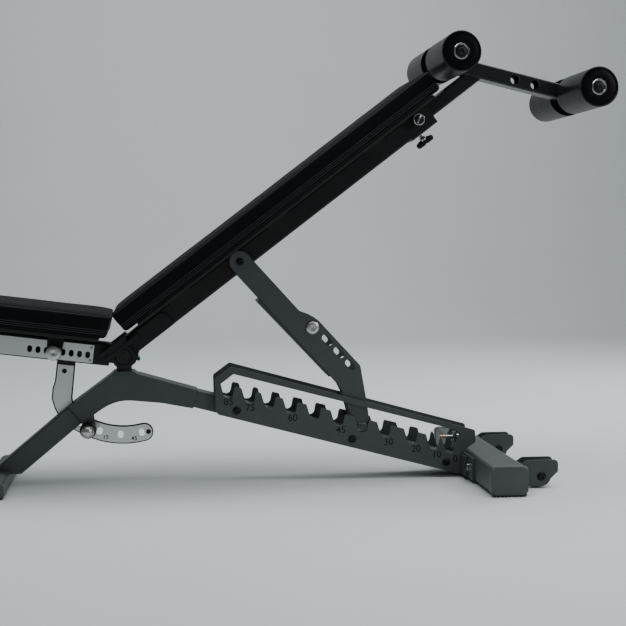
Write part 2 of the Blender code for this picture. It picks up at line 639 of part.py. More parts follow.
def seat_pad():
    x0, x1, low, high = SEAT_PAD
    box("seat_board", (x0 + 16.0, -PAD_WIDTH / 2 + 16.0, 37.0), (x1 - 24.0, PAD_WIDTH / 2 - 16.0, low - GAP),
        seat, PLYWOOD, edge=1.0)
    pad("seat_cushion", x0, x1, low, high, seat, (4.0, -13.0))


# ---------------------------------------------------------------- back

BACK_LOW, BACK_HIGH = -13.5, 36.5
BACK_PAD = (47.5, 1021.0, 49.0, 108.5)
RECEIVER = (915.0, 996.0)
POST_AXIS = 18.5
POST_HALF = 19.0


def back_tube():
    middle = (BACK_LOW + BACK_HIGH) / 2
    tube = square_tube("back_tube", (34.0, middle), (RECEIVER[0] - GAP, middle), BACK_LOW - middle,
                       BACK_HIGH - middle, FRAME_HALF_WIDTH, back, COATED)
    for number, x in enumerate((205.0, 510.0, 815.0), 1):
        join(tube, box(f"pad_cross_plate_{number}", (x - 30.0, -110.0, BACK_HIGH - 1.0),
                       (x + 30.0, 110.0, BACK_HIGH + 3.7), back, None))
    drill(tube, "prop_bolt_hole_cutter", [circle(*PROP_BOLT, 6.0 + GAP, 16)], -60.0, 60.0, back)
    return tube


def back_hinge():
    """Cheeks, bosses and flange bars that carry the back on the axle."""
    for side, sign in sides():
        y0, y1 = span(sign, FRAME_HALF_WIDTH + GAP, 42.5)
        cheek = plate("back_cheek_" + side,
                      rounded([(-31.0, -8.0, 14.0), (-18.0, -31.0, 20.0), (14.0, -31.0, 18.0),
                               (40.0, BACK_LOW + 0.5), (150.0, BACK_LOW + 0.5, 4.0),
                               (150.0, BACK_HIGH - 6.0, 20.0), (-20.0, 30.0, 6.0), (-31.0, 22.0, 6.0)], 4),
                      y0, y1, back, COATED)
        bore = circle(0.0, 0.0, 12.5 + GAP, 24)
        drill(cheek, "cheek_bore_cutter_" + side, [bore], y0 - 5.0, y1 + 5.0, back)
        y2, y3 = span(sign, 40.0, 56.0)
        y4, y5 = span(sign, 56.6, 62.0)
        y6, y7 = span(sign, 40.0, 61.0)
        join(cheek, sleeve("hinge_boss_" + side, 0.0, 0.0, 28.3, 20.3, y2, y3, back, None, 32),
             box("pad_bar_" + side, (-41.0, y6, 31.0), (36.0, y7, 43.0), back, None, edge=2.0),
             box("bar_web_" + side, (-27.0, y6, 26.0), (30.0, y7 - sign, 33.0), back, None),
             box("hinge_bar_" + side, (-36.0, y4, 15.0), (62.0, y5, 27.0), back, None, edge=1.5))


def back_pad():
    x0, x1, low, high = BACK_PAD
    half = PAD_WIDTH / 2
    box("back_board", (x0 + 34.0, -half + 16.0, 40.6), (x1 - 18.0, half - 16.0, low - GAP),
        back, PLYWOOD, edge=1.0)
    pad("back_cushion", x0, x1, low, high, back, (13.0, 6.0))


def receiver():
    """The collar that takes the attachment's post, its ring pin and its thumb screw."""
    x0, x1 = RECEIVER
    bm = bmesh.new()
    inner = POST_HALF + GAP
    ring_prism(bm, rectangle((-FRAME_HALF_WIDTH, -18.0), (FRAME_HALF_WIDTH, 39.5), 5.0),
               rectangle((-inner, POST_AXIS - inner), (inner, POST_AXIS + inner), 4.0), x0, x1)
    bmesh.ops.transform(bm, matrix=Matrix.Rotation(-math.pi / 2, 4, "Z"), verts=bm.verts)
    collar = add_piece("receiver_collar", bm, back, COATED, smooth=True)
    drill(collar, "receiver_pin_cutter", [circle(PIN_X, POST_AXIS, 5.0 + GAP, 16)], -60.0, 0.0, back)
    screw_hole = box("thumb_hole_cutter", (THUMB_X - 5.3, -5.3, -40.0), (THUMB_X + 5.3, 5.3, 0.0),
                     back, None)
    cut(collar, screw_hole)


PIN_X = 955.0
THUMB_X = 946.0


def receiver_controls():
    profile = [(-60.0, 9.0), (-58.5, 14.0), (-50.0, 15.0), (-48.3, 14.0), (-48.3, 5.0),
               (-21.5, 5.0), (-19.6, 4.0)]
    turned("receiver_pin", profile, PIN_X, POST_AXIS, back, CHROME, 16)
    stem = bmesh.new()
    extrude_outline(stem, circle(0.0, 0.0, 4.8, 16), -40.0, -2.2)
    bmesh.ops.transform(stem, verts=stem.verts, matrix=Matrix.Translation((THUMB_X, 0.0, 0.0))
                        @ Matrix.Rotation(math.pi / 2, 4, "X"))
    screw = add_piece("thumb_screw", stem, back, CHROME, smooth=True)
    wing = rounded([(THUMB_X - 24.0, -48.0, 6.0), (THUMB_X + 24.0, -48.0, 6.0), (THUMB_X + 24.0, -37.0, 5.0),
                    (THUMB_X, -31.0, 10.0), (THUMB_X - 24.0, -37.0, 5.0)], 3)
    join(screw, plate("thumb_wing", wing, -5.2, 5.2, back, None))


# ---------------------------------------------------------------- prop

CROSS_BOLT = (244.4, 48.2)


def prop_outline():
    """Side plate in the prop's frame: the bolt at 0, the pin at PROP_LENGTH, +Z on the ladder-foot side."""
    end = PROP_LENGTH + 15.5
    return rounded([(-24.0, -29.5, 26.0), (-29.5, 24.0, 26.0), (193.6, 47.6, 20.0), (222.0, 66.5, 14.0),
                    (239.0, 71.8, 20.0), (397.0, 89.9, 14.0), (478.7, 49.9, 60.0), (end, 15.5, 15.0),
                    (end, -15.5, 15.0), (514.0, -15.5, 12.0), (440.0, 12.0, 30.0), (411.0, 17.1, 20.0)], 4)


def prop_pieces():
    side_outline = prop_outline()
    holes = [circle(0.0, 0.0, 6.0 + GAP, 16), circle(PROP_LENGTH, 0.0, PIN_RADIUS + GAP, 24),
             circle(*CROSS_BOLT, 5.0 + GAP, 16)]
    slot = rectangle((-17.0, -8.0), (17.0, 8.0), 7.9, 3)
    for x, z in ((293.0, 60.0), (337.0, 65.0), (381.0, 70.0)):
        holes.append([(x + p[0], z + p[1]) for p in (turn(corner, 6.5) for corner in slot)])
    for side, sign in sides():
        y0, y1 = span(sign, PROP_IN, PROP_OUT)
        side_plate = plate("prop_plate_" + side, side_outline, y0, y1, prop, COATED)
        drill(side_plate, "prop_hole_cutter_" + side, holes, y0 - 5.0, y1 + 5.0, prop)
    web = [(107.5, -25.5), (373.0, 8.0), (372.0, 17.0), (106.4, -16.5)]
    plate("prop_web", web, -PROP_IN + GAP, PROP_IN - GAP, prop, COATED)
    rod("prop_pin", PROP_LENGTH, 0.0, PIN_RADIUS, -LADDER_IN + 0.6, LADDER_IN - 0.6, prop, CHROME, 24)
    bolt("prop_cross_bolt", *CROSS_BOLT, 5.0, 15.0, PROP_OUT + GAP, PROP_OUT + 8.0, prop)
    sleeve("prop_bush", 0.0, 0.0, 11.0, 6.0 + GAP, -31.5, 31.5, prop, BRUSHED, 20)
    bolt("prop_bolt", *PROP_BOLT, 6.0, 11.5, PROP_OUT + GAP, PROP_OUT + 6.5, back, COATED)


# ---------------------------------------------------------------- leg roller attachment

UPPER_AXLE = (1104.0, 94.0)
LOWER_AXLE = (1331.0, -181.0)
ARM_HALF = 19.5


def attachment():
    arm_start, arm_end = Vector(UPPER_AXLE), Vector(LOWER_AXLE)
    along = (arm_end - arm_start).normalized()
    normal = Vector((-along.y, along.x))
    begin, finish_at = arm_start - along * 22.0, arm_end + along * 22.0
    arm = square_tube("roller_arm", begin, finish_at, -ARM_HALF, ARM_HALF, 25.0, back, COATED)
    holes = [circle(*(arm_start + along * d), 12.0, 20) for d in (193.0, 248.0)]
    axles = [circle(*p, 11.0 + GAP, 20) for p in (UPPER_AXLE, LOWER_AXLE)]
    meet = arm_start + along * 97.6
    post_end = meet.x - 26.5
    post = square_tube("attachment_post", (RECEIVER[0] + 18.0, POST_AXIS), (post_end + 30.0, POST_AXIS),
                       -POST_HALF, POST_HALF, POST_HALF, back, None)
    weld = -ARM_HALF + 1.2
    corners = ((-90.0, weld), (-90.0, 60.0), (90.0, 60.0), (90.0, weld))
    face = [meet + along * a + normal * b for a, b in corners]
    drill(post, "post_mitre_cutter", [face], -40.0, 40.0, back)
    join(arm, post)
    drill(arm, "arm_hole_cutter", holes + axles, -40.0, 40.0, back)
    for label, place in (("upper", UPPER_AXLE), ("lower", LOWER_AXLE)):
        rod(label + "_axle", *place, 11.0, -ROLLER_OUTER + 4.0, ROLLER_OUTER - 4.0, back, CHROME, 20)
        for side, sign in sides():
            y0, y1 = span(sign, ROLLER_INNER, ROLLER_OUTER)
            sleeve(f"{label}_roller_{side}", *place, ROLLER_RADIUS, 11.0 + GAP, y0, y1, back, FOAM, 28)


front_foot()
quadrant_slot(front_leg())
apex_frame = apex()
quadrant_slot(apex_frame)
rear_tube()
ladder_plates()
rear_foot()
wheels()
quadrant_lock(apex_frame)
ladder_catch()
axle()
seat_rail()
quadrant()
seat_carriage()
seat_pad()
back_tube()
back_hinge()
back_pad()
receiver()
receiver_controls()
prop_pieces()
attachment()
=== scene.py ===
import json
import math

import bmesh
import bpy
import numpy as np
from mathutils import Matrix, Vector, noise
from mathutils.bvhtree import BVHTree

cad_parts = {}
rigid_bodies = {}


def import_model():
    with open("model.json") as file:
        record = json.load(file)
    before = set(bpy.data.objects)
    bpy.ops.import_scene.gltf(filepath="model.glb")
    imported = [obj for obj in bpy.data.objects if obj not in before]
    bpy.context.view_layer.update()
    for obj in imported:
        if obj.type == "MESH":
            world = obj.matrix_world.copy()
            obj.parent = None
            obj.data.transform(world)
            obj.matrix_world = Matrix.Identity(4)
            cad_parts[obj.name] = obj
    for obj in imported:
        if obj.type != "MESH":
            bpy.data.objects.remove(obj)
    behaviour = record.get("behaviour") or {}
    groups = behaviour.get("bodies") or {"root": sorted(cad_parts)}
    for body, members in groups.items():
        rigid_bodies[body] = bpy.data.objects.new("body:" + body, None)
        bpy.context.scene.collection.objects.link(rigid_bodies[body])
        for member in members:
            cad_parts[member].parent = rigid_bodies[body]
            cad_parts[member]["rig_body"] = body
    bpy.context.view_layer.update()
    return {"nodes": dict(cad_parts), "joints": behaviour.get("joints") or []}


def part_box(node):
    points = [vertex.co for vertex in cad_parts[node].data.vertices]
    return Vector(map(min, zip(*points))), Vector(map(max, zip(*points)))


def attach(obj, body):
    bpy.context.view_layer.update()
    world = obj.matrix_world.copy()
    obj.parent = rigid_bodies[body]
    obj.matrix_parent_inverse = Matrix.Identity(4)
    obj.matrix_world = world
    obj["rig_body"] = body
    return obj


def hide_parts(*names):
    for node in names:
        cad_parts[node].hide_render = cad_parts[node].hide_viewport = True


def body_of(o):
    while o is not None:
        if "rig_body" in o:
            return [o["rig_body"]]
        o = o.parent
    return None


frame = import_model()
print("frame loaded:", len(frame["nodes"]), "nodes")

mm = 0.001
pivotAt = next(Vector(j["pos_m"]) for j in frame["joints"] if j["name"] == "back_raise")


def middleOf(node):
    low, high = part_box(node)
    return (low + high) / 2


def bodyOf(node):
    return body_of(frame["nodes"][node])[0]


def sidePlace(origin, angle):
    # a place in the bench's side plane, its X turned up by angle
    return Matrix.Translation(origin) @ Matrix.Rotation(-math.radians(angle), 4, "Y")


pinAt = middleOf("prop_pin")
seatPlace = sidePlace(pivotAt, -7.0)
backPlace = sidePlace(pivotAt, 37.5)
ladderPlace = sidePlace(pinAt, -15.0)
pivotPlace = sidePlace(pivotAt, 0.0)
floorPlace = Matrix.Translation((pivotAt.x, 0.0, 0.0))


# Finishes

def linear(hexColour, alpha=1.0):
    parts = [int(hexColour[i:i + 2], 16) / 255 for i in (1, 3, 5)]
    return [c / 12.92 if c <= 0.04045 else ((c + 0.055) / 1.055) ** 2.4 for c in parts] + [alpha]


def addNode(tree, kind, values=None, links=None, **settings):
    node = tree.nodes.new(kind)
    for key, value in settings.items():
        setattr(node, key, value)
    for key, value in (values or {}).items():
        node.inputs[key].default_value = value
    for key, source in (links or {}).items():
        tree.links.new(source, node.inputs[key])
    return node


def startFinish(name, slot, colour, roughness, metallic=0.0, **sockets):
    material = bpy.data.materials.new(name)
    material.use_nodes = True
    shader = material.node_tree.nodes["Principled BSDF"]
    shader.inputs["Base Color"].default_value = linear(colour)
    shader.inputs["Roughness"].default_value = roughness
    shader.inputs["Metallic"].default_value = metallic
    for key, value in sockets.items():
        shader.inputs[key.replace("_", " ")].default_value = value
    return material, material.node_tree, shader


def placeOn(tree, stretch=(1.0, 1.0, 1.0)):
    # object coordinates in metres, so a pattern's scale is one over its size
    spot = addNode(tree, "ShaderNodeTexCoord")
    return addNode(tree, "ShaderNodeMapping", {"Scale": stretch}, {"Vector": spot.outputs["Object"]})


def mottle(tree, shader, where, size, dark, light, roughLow, roughHigh):
    # slow changes of colour and gloss over the surface, size in metres
    cloud = addNode(tree, "ShaderNodeTexNoise", {"Scale": 1 / size, "Detail": 5.0, "Roughness": 0.6},
                    {"Vector": where.outputs["Vector"]})
    tint = addNode(tree, "ShaderNodeMix", None, {"Factor": cloud.outputs["Fac"]}, data_type="RGBA")
    tint.inputs[6].default_value = linear(dark)
    tint.inputs[7].default_value = linear(light)
    tree.links.new(tint.outputs[2], shader.inputs["Base Color"])
    gloss = addNode(tree, "ShaderNodeMapRange", {"To Min": roughLow, "To Max": roughHigh},
                    {"Value": cloud.outputs["Fac"]})
    tree.links.new(gloss.outputs["Result"], shader.inputs["Roughness"])


def roundEdges(tree, shader, height, strength, depth, radius=0.0012):
    # a small radius on every sharp edge, under the surface grain
    edge = addNode(tree, "ShaderNodeBevel", {"Radius": radius}, samples=4)
    grain = addNode(tree, "ShaderNodeBump", {"Strength": strength, "Distance": depth},
                    {"Height": height, "Normal": edge.outputs["Normal"]})
    tree.links.new(grain.outputs["Normal"], shader.inputs["Normal"])


def powderCoat(name, dark, light, rough=0.44):
    # steel with a fine-textured polyester powder coat: a dry, slightly pebbled charcoal skin
    material, tree, shader = startFinish(name, "powder_coated_steel", dark, 0.5, 0.0, Specular_IOR_Level=0.36)
    where = placeOn(tree)
    mottle(tree, shader, where, 0.045, dark, light, rough - 0.04, rough + 0.07)
    # the real pebbles are 0.5 mm; 1.6 mm is the finest that shows
    pebble = addNode(tree, "ShaderNodeTexNoise", {"Scale": 1 / 0.0016, "Detail": 3.0, "Roughness": 0.55},
                     {"Vector": where.outputs["Vector"]})
    roundEdges(tree, shader, pebble.outputs["Fac"], 0.35, 0.0002)
    return material


def brushedPlate(name, colour, light, direction, roughness=0.3):
    # stainless plate brushed along one direction: fine parallel lines that smear the reflections
    material, tree, shader = startFinish(name, "brushed_steel", colour, roughness, 1.0)
    stretch = [1 / 0.0006] * 3
    stretch[direction] = 1 / 0.04
    where = placeOn(tree, stretch)
    lines = addNode(tree, "ShaderNodeTexNoise", {"Scale": 1.0, "Detail": 3.0, "Roughness": 0.7},
                    {"Vector": where.outputs["Vector"]})
    tint = addNode(tree, "ShaderNodeMix", None, {"Factor": lines.outputs["Fac"]}, data_type="RGBA")
    tint.inputs[6].default_value = linear(colour)
    tint.inputs[7].default_value = linear(light)
    tree.links.new(tint.outputs[2], shader.inputs["Base Color"])
    gloss = addNode(tree, "ShaderNodeMapRange", {"To Min": roughness - 0.08, "To Max": roughness + 0.12},
                    {"Value": lines.outputs["Fac"]})
    tree.links.new(gloss.outputs["Result"], shader.inputs["Roughness"])
    roundEdges(tree, shader, lines.outputs["Fac"], 0.15, 0.00008, 0.0006)
    return material


def platedSteel(name, colour, roughness, slot="chrome"):
    # nickel-chrome plating: bright and smooth with faint handling marks
    material, tree, shader = startFinish(name, slot, colour, roughness, 1.0)
    where = placeOn(tree)
    marks = addNode(tree, "ShaderNodeTexNoise", {"Scale": 1 / 0.012, "Detail": 6.0, "Roughness": 0.7},
                    {"Vector": where.outputs["Vector"]})
    gloss = addNode(tree, "ShaderNodeMapRange", {"To Min": roughness * 0.7, "To Max": roughness * 1.5},
                    {"Value": marks.outputs["Fac"]})
    tree.links.new(gloss.outputs["Result"], shader.inputs["Roughness"])
    roundEdges(tree, shader, marks.outputs["Fac"], 0.05, 0.0001, 0.0005)
    return material


def grainedVinyl(name, dark, light, slot, roughness, grainSize, grainDepth):
    # PVC upholstery: pebbled leather grain, a soft broad shine and slow tonal changes
    material, tree, shader = startFinish(name, slot, dark, roughness, 0.0, Specular_IOR_Level=0.1,
                                         Sheen_Weight=0.01, Sheen_Roughness=0.5)
    where = placeOn(tree)
    mottle(tree, shader, where, 0.07, dark, light, roughness - 0.05, roughness + 0.08)
    warp = addNode(tree, "ShaderNodeTexNoise", {"Scale": 1 / 0.006, "Detail": 2.0},
                   {"Vector": where.outputs["Vector"]})
    bent = addNode(tree, "ShaderNodeVectorMath", {1: (0.0012, 0.0012, 0.0012)},
                   {0: warp.outputs["Color"]}, operation="MULTIPLY")
    moved = addNode(tree, "ShaderNodeVectorMath", None,
                    {0: where.outputs["Vector"], 1: bent.outputs["Vector"]}, operation="ADD")
    pebbles = addNode(tree, "ShaderNodeTexVoronoi", {"Scale": 1 / grainSize},
                      {"Vector": moved.outputs["Vector"]}, feature="SMOOTH_F1")
    creases = addNode(tree, "ShaderNodeTexNoise", {"Scale": 1 / 0.05, "Detail": 3.0},
                      {"Vector": where.outputs["Vector"]})
    slow = addNode(tree, "ShaderNodeBump", {"Strength": 0.35, "Distance": 0.0025},
                   {"Height": creases.outputs["Fac"]})
    grain = addNode(tree, "ShaderNodeBump", {"Strength": 0.5, "Distance": grainDepth},
                    {"Height": pebbles.outputs["Distance"], "Normal": slow.outputs["Normal"]})
    tree.links.new(grain.outputs["Normal"], shader.inputs["Normal"])
    return material


def mouldedRubber(name, dark, light, roughness, slot="rubber"):
    # moulded rubber or plastic: matt, with a faint spark-eroded grain
    material, tree, shader = startFinish(name, slot, dark, roughness, 0.0, Specular_IOR_Level=0.4)
    where = placeOn(tree)
    mottle(tree, shader, where, 0.03, dark, light, roughness - 0.06, roughness + 0.06)
    grain = addNode(tree, "ShaderNodeTexNoise", {"Scale": 1 / 0.0018, "Detail": 4.0},
                    {"Vector": where.outputs["Vector"]})
    roundEdges(tree, shader, grain.outputs["Fac"], 0.3, 0.0002, 0.0015)
    return material


def turnedSteel(name, colour, centre, slot):
    # a face turned on a lathe: rings about the axis that make a bow-tie highlight
    material, tree, shader = startFinish(name, slot, colour, 0.32, 1.0, Anisotropic=0.8)
    spot = addNode(tree, "ShaderNodeTexCoord")
    off = addNode(tree, "ShaderNodeVectorMath", {1: tuple(centre)}, {0: spot.outputs["Object"]},
                  operation="SUBTRACT")
    flat = addNode(tree, "ShaderNodeVectorMath", {1: (1.0, 0.0, 1.0)}, {0: off.outputs["Vector"]},
                   operation="MULTIPLY")
    reach = addNode(tree, "ShaderNodeVectorMath", None, {0: flat.outputs["Vector"]}, operation="LENGTH")
    ringSize = addNode(tree, "ShaderNodeMath", {1: 1 / 0.0007}, {0: reach.outputs["Value"]},
                       operation="MULTIPLY")
    rings = addNode(tree, "ShaderNodeTexNoise", {"Scale": 1.0, "Detail": 2.0},
                    {"W": ringSize.outputs["Value"]}, noise_dimensions="1D")
    grooves = addNode(tree, "ShaderNodeBump", {"Strength": 0.2, "Distance": 0.0001},
                      {"Height": rings.outputs["Fac"]})
    tree.links.new(grooves.outputs["Normal"], shader.inputs["Normal"])
    around = addNode(tree, "ShaderNodeTangent", axis="Y", direction_type="RADIAL")
    tree.links.new(around.outputs["Tangent"], shader.inputs["Tangent"])
    return material


def paintedPly(name, colour, light, slot="plywood"):
    # birch plywood, black stained: long pale grain under the stain
    material, tree, shader = startFinish(name, slot, colour, 0.7)
    where = placeOn(tree, (1 / 0.06, 1 / 0.004, 1 / 0.004))
    grain = addNode(tree, "ShaderNodeTexNoise", {"Scale": 1.0, "Detail": 5.0, "Distortion": 0.4},
                    {"Vector": where.outputs["Vector"]})
    tint = addNode(tree, "ShaderNodeMix", None, {"Factor": grain.outputs["Fac"]}, data_type="RGBA")
    tint.inputs[6].default_value = linear(colour)
    tint.inputs[7].default_value = linear(light)
    tree.links.new(tint.outputs[2], shader.inputs["Base Color"])
    roundEdges(tree, shader, grain.outputs["Fac"], 0.2, 0.0003)
    return material


finish = {
    "coat": powderCoat("charcoalPowderCoat", "#3f4446", "#4a4f51"),
    "coatDark": powderCoat("blackPowderCoat", "#0c0d0e", "#131415"),
    "plate": brushedPlate("brushedStainless", "#d3d6d5", "#ecedec", 0),
    "quadrant": brushedPlate("brushedQuadrant", "#c4c7c5", "#dfe1df", 0, 0.34),
    "chrome": platedSteel("chromePlating", "#bcbebf", 0.16),
    "satin": platedSteel("satinNickel", "#c4c5c2", 0.32),
    "blackBolt": platedSteel("blackOxideSteel", "#2c2d2f", 0.3),
    "brass": platedSteel("polishedBrass", "#cdb67e", 0.2),
    "vinyl": grainedVinyl("grainedBlackVinyl", "#08090a", "#0e0f10", "vinyl", 0.7, 0.0021, 0.00032),
    "roller": grainedVinyl("smoothRollerVinyl", "#090a0b", "#121314", "roller_foam", 0.33, 0.0024, 0.00012),
    "rubber": mouldedRubber("mouldedBlackRubber", "#1c1d1e", "#27292a", 0.62),
    "capRubber": mouldedRubber("greyFootRubber", "#424749", "#4e5355", 0.46),
    "plastic": mouldedRubber("blackNylonPlastic", "#090a0b", "#101112", 0.4),
    "nylon": mouldedRubber("naturalNylon", "#3c3d3c", "#4b4c4a", 0.5, "nylon"),
    "ply": paintedPly("blackStainedPly", "#121212", "#201f1e"),
    "ink": mouldedRubber("etchedNumberInk", "#060607", "#0b0c0d", 0.7, "powder_coated_steel"),
    # piping cords: lighter grey than the cushion vinyl, a painted highlight for the light the round cords
    # catch
    "piping": grainedVinyl("pipedVinylPaintedHighlight", "#2c2e30", "#3a3d3f", "vinyl", 0.36, 0.0012, 0.00008),
    # gloss black coat for the post; its colour is a little lighter than the black coat as painted sheen, on
    # top of its real low roughness
    "postCoat": powderCoat("glossBlackCoatPaintedSheen", "#151718", "#222526", 0.26),
    "teal": mouldedRubber("tealThreadLock", "#2a8f80", "#3aa392", 0.4, "chrome"),
}


# Mesh helpers; shapes are in millimetres in their own place

def addPiece(name, bm, place, finishName, body, sharp=38):
    bmesh.ops.remove_doubles(bm, verts=bm.verts, dist=0.0005)
    bmesh.ops.recalc_face_normals(bm, faces=bm.faces)
    mesh = bpy.data.meshes.new(name)
    bm.to_mesh(mesh)
    bm.free()
    mesh.transform(place @ Matrix.Scale(mm, 4))
    mesh.materials.append(finish[finishName])
    mesh.shade_smooth()
    mesh.set_sharp_from_angle(angle=math.radians(sharp))
    piece = bpy.data.objects.new(name, mesh)
    bpy.context.scene.collection.objects.link(piece)
    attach(piece, body)
    return piece


def joinRings(bm, one, two):
    for i in range(len(one)):
        j = (i + 1) % len(one)
        bm.faces.new((one[i], one[j], two[j], two[i]))


def lathe(bm, profile, x=0.0, z=0.0, segments=48):
    # turns (y, radius) or (y, radius, sides) about the line along Y through x, z
    rings = []
    for y, radius, *sides in profile:
        ring = []
        for i in range(segments):
            a = 2 * math.pi * i / segments
            r = radius
            if sides:                                  # a flat-sided ring, such as a hex socket
                part = math.pi / sides[0]
                r = radius * math.cos(part) / math.cos((a % (2 * part)) - part)
            ring.append(bm.verts.new((x + r * math.cos(a), y, z + r * math.sin(a))))
        rings.append(ring)
    for one, two in zip(rings, rings[1:]):
        joinRings(bm, one, two)
    return rings


def turnedSolid(bm, profile, x=0.0, z=0.0, segments=48):
    rings = lathe(bm, profile, x, z, segments)
    bm.faces.new(rings[0])
    bm.faces.new(rings[-1])


def slab(bm, outline, y0, y1, edge=0.0, segments=2):
    # an outline of (x, z) drawn out from y0 to y1, with its two rims rounded
    low = [bm.verts.new((p[0], y0, p[1])) for p in outline]
    high = [bm.verts.new((p[0], y1, p[1])) for p in outline]
    ends = [bm.faces.new(low), bm.faces.new(high[::-1])]
    count = len(outline)
    for i in range(count):
        j = (i + 1) % count
        bm.faces.new((low[i], high[i], high[j], low[j]))
    if edge:
        rim = [e for f in ends for e in f.edges]
        bmesh.ops.bevel(bm, geom=rim, offset=edge, offset_type="OFFSET", segments=segments,
                        profile=0.5, affect="EDGES")


def cordRound(bm, points, radius, sides):
    # a round cord or wire along a closed loop
    rings = []
    for i, here in enumerate(points):
        along = (points[(i + 1) % len(points)] - points[i - 1]).normalized()
        across = along.cross(Vector((0, 0, 1)))
        if across.length < 0.1:
            across = along.cross(Vector((0, 1, 0)))
        across.normalize()
        up = across.cross(along)
        turns = [2 * math.pi * k / sides for k in range(sides)]
        rings.append([bm.verts.new(here + radius * (math.cos(a) * across + math.sin(a) * up)) for a in turns])
    for one, two in zip(rings, rings[1:] + rings[:1]):
        joinRings(bm, one, two)


def roundedRectangle(low, high, radius, steps=5):
    corners = ((high[0] - radius, high[1] - radius, 0), (low[0] + radius, high[1] - radius, 90),
               (low[0] + radius, low[1] + radius, 180), (high[0] - radius, low[1] + radius, 270))
    outline = []
    for x, z, start in corners:
        for k in range(steps + 1):
            a = math.radians(start + 90 * k / steps)
            outline.append((x + radius * math.cos(a), z + radius * math.sin(a)))
    return outline


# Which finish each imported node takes

nodeFinish = {
    "coatDark": ["back_tube", "seat_rail", "seat_carriage", "back_cheek_near", "back_cheek_far",
                 "receiver_collar", "quadrant_arm"],
    "postCoat": ["roller_arm"],
    "plate": ["seat_scale_near", "seat_scale_far"],
    "quadrant": ["quadrant_cover"],
    "chrome": ["pivot_axle", "upper_axle", "lower_axle"],
    "satin": ["prop_pin", "prop_bush"],
    "nylon": ["glide_strip_1", "glide_strip_2", "glide_strip_3"],
    "ply": ["seat_board", "back_board"],
    "rubber": ["wheel_near", "wheel_far"],
}
given = {node: finish[key] for key, nodes in nodeFinish.items() for node in nodes}
for node, thing in frame["nodes"].items():
    thing.data.materials.clear()
    thing.data.materials.append(given.get(node, finish["coat"]))
print("finishes on packed nodes")


# Cushions

def cushionRows(deep, half, shape):
    # (inset, height) of level loops from the middle of the underside to the middle of the top
    rows = [(inset, 0.4) for inset in (half, 120.0, 88.0, 58.0, 34.0, 18.0)]
    rows += [(8.0, 0.9), (3.6, 3.2), (1.4, 6.6)]
    for rib in shape["ribs"]:
        rows += [(0.6, rib - 2.4), (shape["groove"], rib)]
    seam = deep - shape["topSeam"]
    rows += [(0.5, shape["ribs"][-1] + 2.6), (0.0, 30.0), (0.0, 37.0), (0.0, 43.0), (0.3, seam - 3.0),
             (shape["groove"], seam), (1.4, seam + 1.8), (4.0, seam + 3.2)]
    crown = ((9.0, 4.2), (18.0, 4.9), (34.0, 5.4), (54.0, 5.7), (78.0, 5.9), (104.0, 6.0), (130.0, 6.0))
    rows += [(inset, seam + rise) for inset, rise in crown]
    return rows + [(half, seam + 6.0)]


def cushionLoop(bm, low, high, inset, height, radius, counts):
    # one level loop with round corners, and counts points along each long and short side
    x0, x1 = low[0] + inset, high[0] - inset
    y0, y1 = low[1] + inset, high[1] - inset
    r = max(min(max(radius - inset, 2.0), (y1 - y0) / 2), 0.0)
    corners = ((x1 - r, y1 - r), (x0 + r, y1 - r), (x0 + r, y0 + r), (x1 - r, y0 + r))
    spots = []
    for k, (x, y) in enumerate(corners):
        for step in range(7):
            a = math.radians(90 * k + 15 * step)
            spots.append((x + r * math.cos(a), y + r * math.sin(a)))
        nextX, nextY = corners[(k + 1) % 4]
        a = math.radians(90 * (k + 1))
        goal = (nextX + r * math.cos(a), nextY + r * math.sin(a))
        start = spots[-1]
        for step in range(1, counts[k % 2] + 1):
            t = step / (counts[k % 2] + 1)
            spots.append((start[0] + (goal[0] - start[0]) * t, start[1] + (goal[1] - start[1]) * t))
    return [bm.verts.new((x, y, height)) for x, y in spots]


def cushionMesh(low, high, shape):
    # low and high corners in millimetres in the cushion's place
    deep, half = high[2] - low[2], (high[1] - low[1]) / 2
    counts = (int((high[0] - low[0]) / 9.0), int(2 * half / 9.0))
    bm = bmesh.new()
    loops = []
    for inset, height in cushionRows(deep, half, shape):
        lift = 1.0 - height / deep
        lean = shape["lean"]
        loops.append(cushionLoop(bm, (low[0] + lean[0] * lift + shape["slack"], low[1] + shape["slack"]),
                                 (high[0] + lean[1] * lift - shape["slack"], high[1] - shape["slack"]),
                                 min(inset, half - shape["slack"]), low[2] + height, shape["corner"], counts))
    for one, two in zip(loops, loops[1:]):
        joinRings(bm, one, two)
    bmesh.ops.remove_doubles(bm, verts=bm.verts, dist=0.02)
    bmesh.ops.recalc_face_normals(bm, faces=bm.faces)
    return bm


def blowUp(cushion, stitched, shape):
    # air pressure fills the cover between the rows of stitches and the board
    rest = np.array([v.co for v in cushion.data.vertices])
    held = cushion.vertex_groups.new(name="stitched")
    for i, weight in stitched.items():
        held.add([i], weight, "REPLACE")
    cloth = cushion.modifiers.new("air", "CLOTH")
    cloth.settings.use_pressure = True
    cloth.settings.uniform_pressure_force = shape["pressure"]
    cloth.settings.tension_stiffness = 30
    cloth.settings.compression_stiffness = 30
    cloth.settings.bending_stiffness = 4
    cloth.settings.quality = 6
    cloth.settings.vertex_group_mass = "stitched"
    cloth.settings.effector_weights.gravity = 0.0
    for step in range(1, 19):
        bpy.context.scene.frame_set(step)
    shaped = cushion.evaluated_get(bpy.context.evaluated_depsgraph_get())
    moved = np.array([v.co for v in shaped.data.vertices])
    cushion.modifiers.remove(cloth)
    bpy.context.scene.frame_set(1)
    shift = moved - rest
    reach = np.linalg.norm(shift, axis=1, keepdims=True)
    limit = shape["cap"] * mm
    shift *= limit * np.tanh(reach / limit) / np.maximum(reach, 1e-9)
    for v, p in zip(cushion.data.vertices, rest + shift):
        v.co = Vector(p)
    cushion.vertex_groups.clear()
    print(cushion.name, "filled, mean swell mm", round(float(np.linalg.norm(shift, axis=1).mean()) / mm, 2))


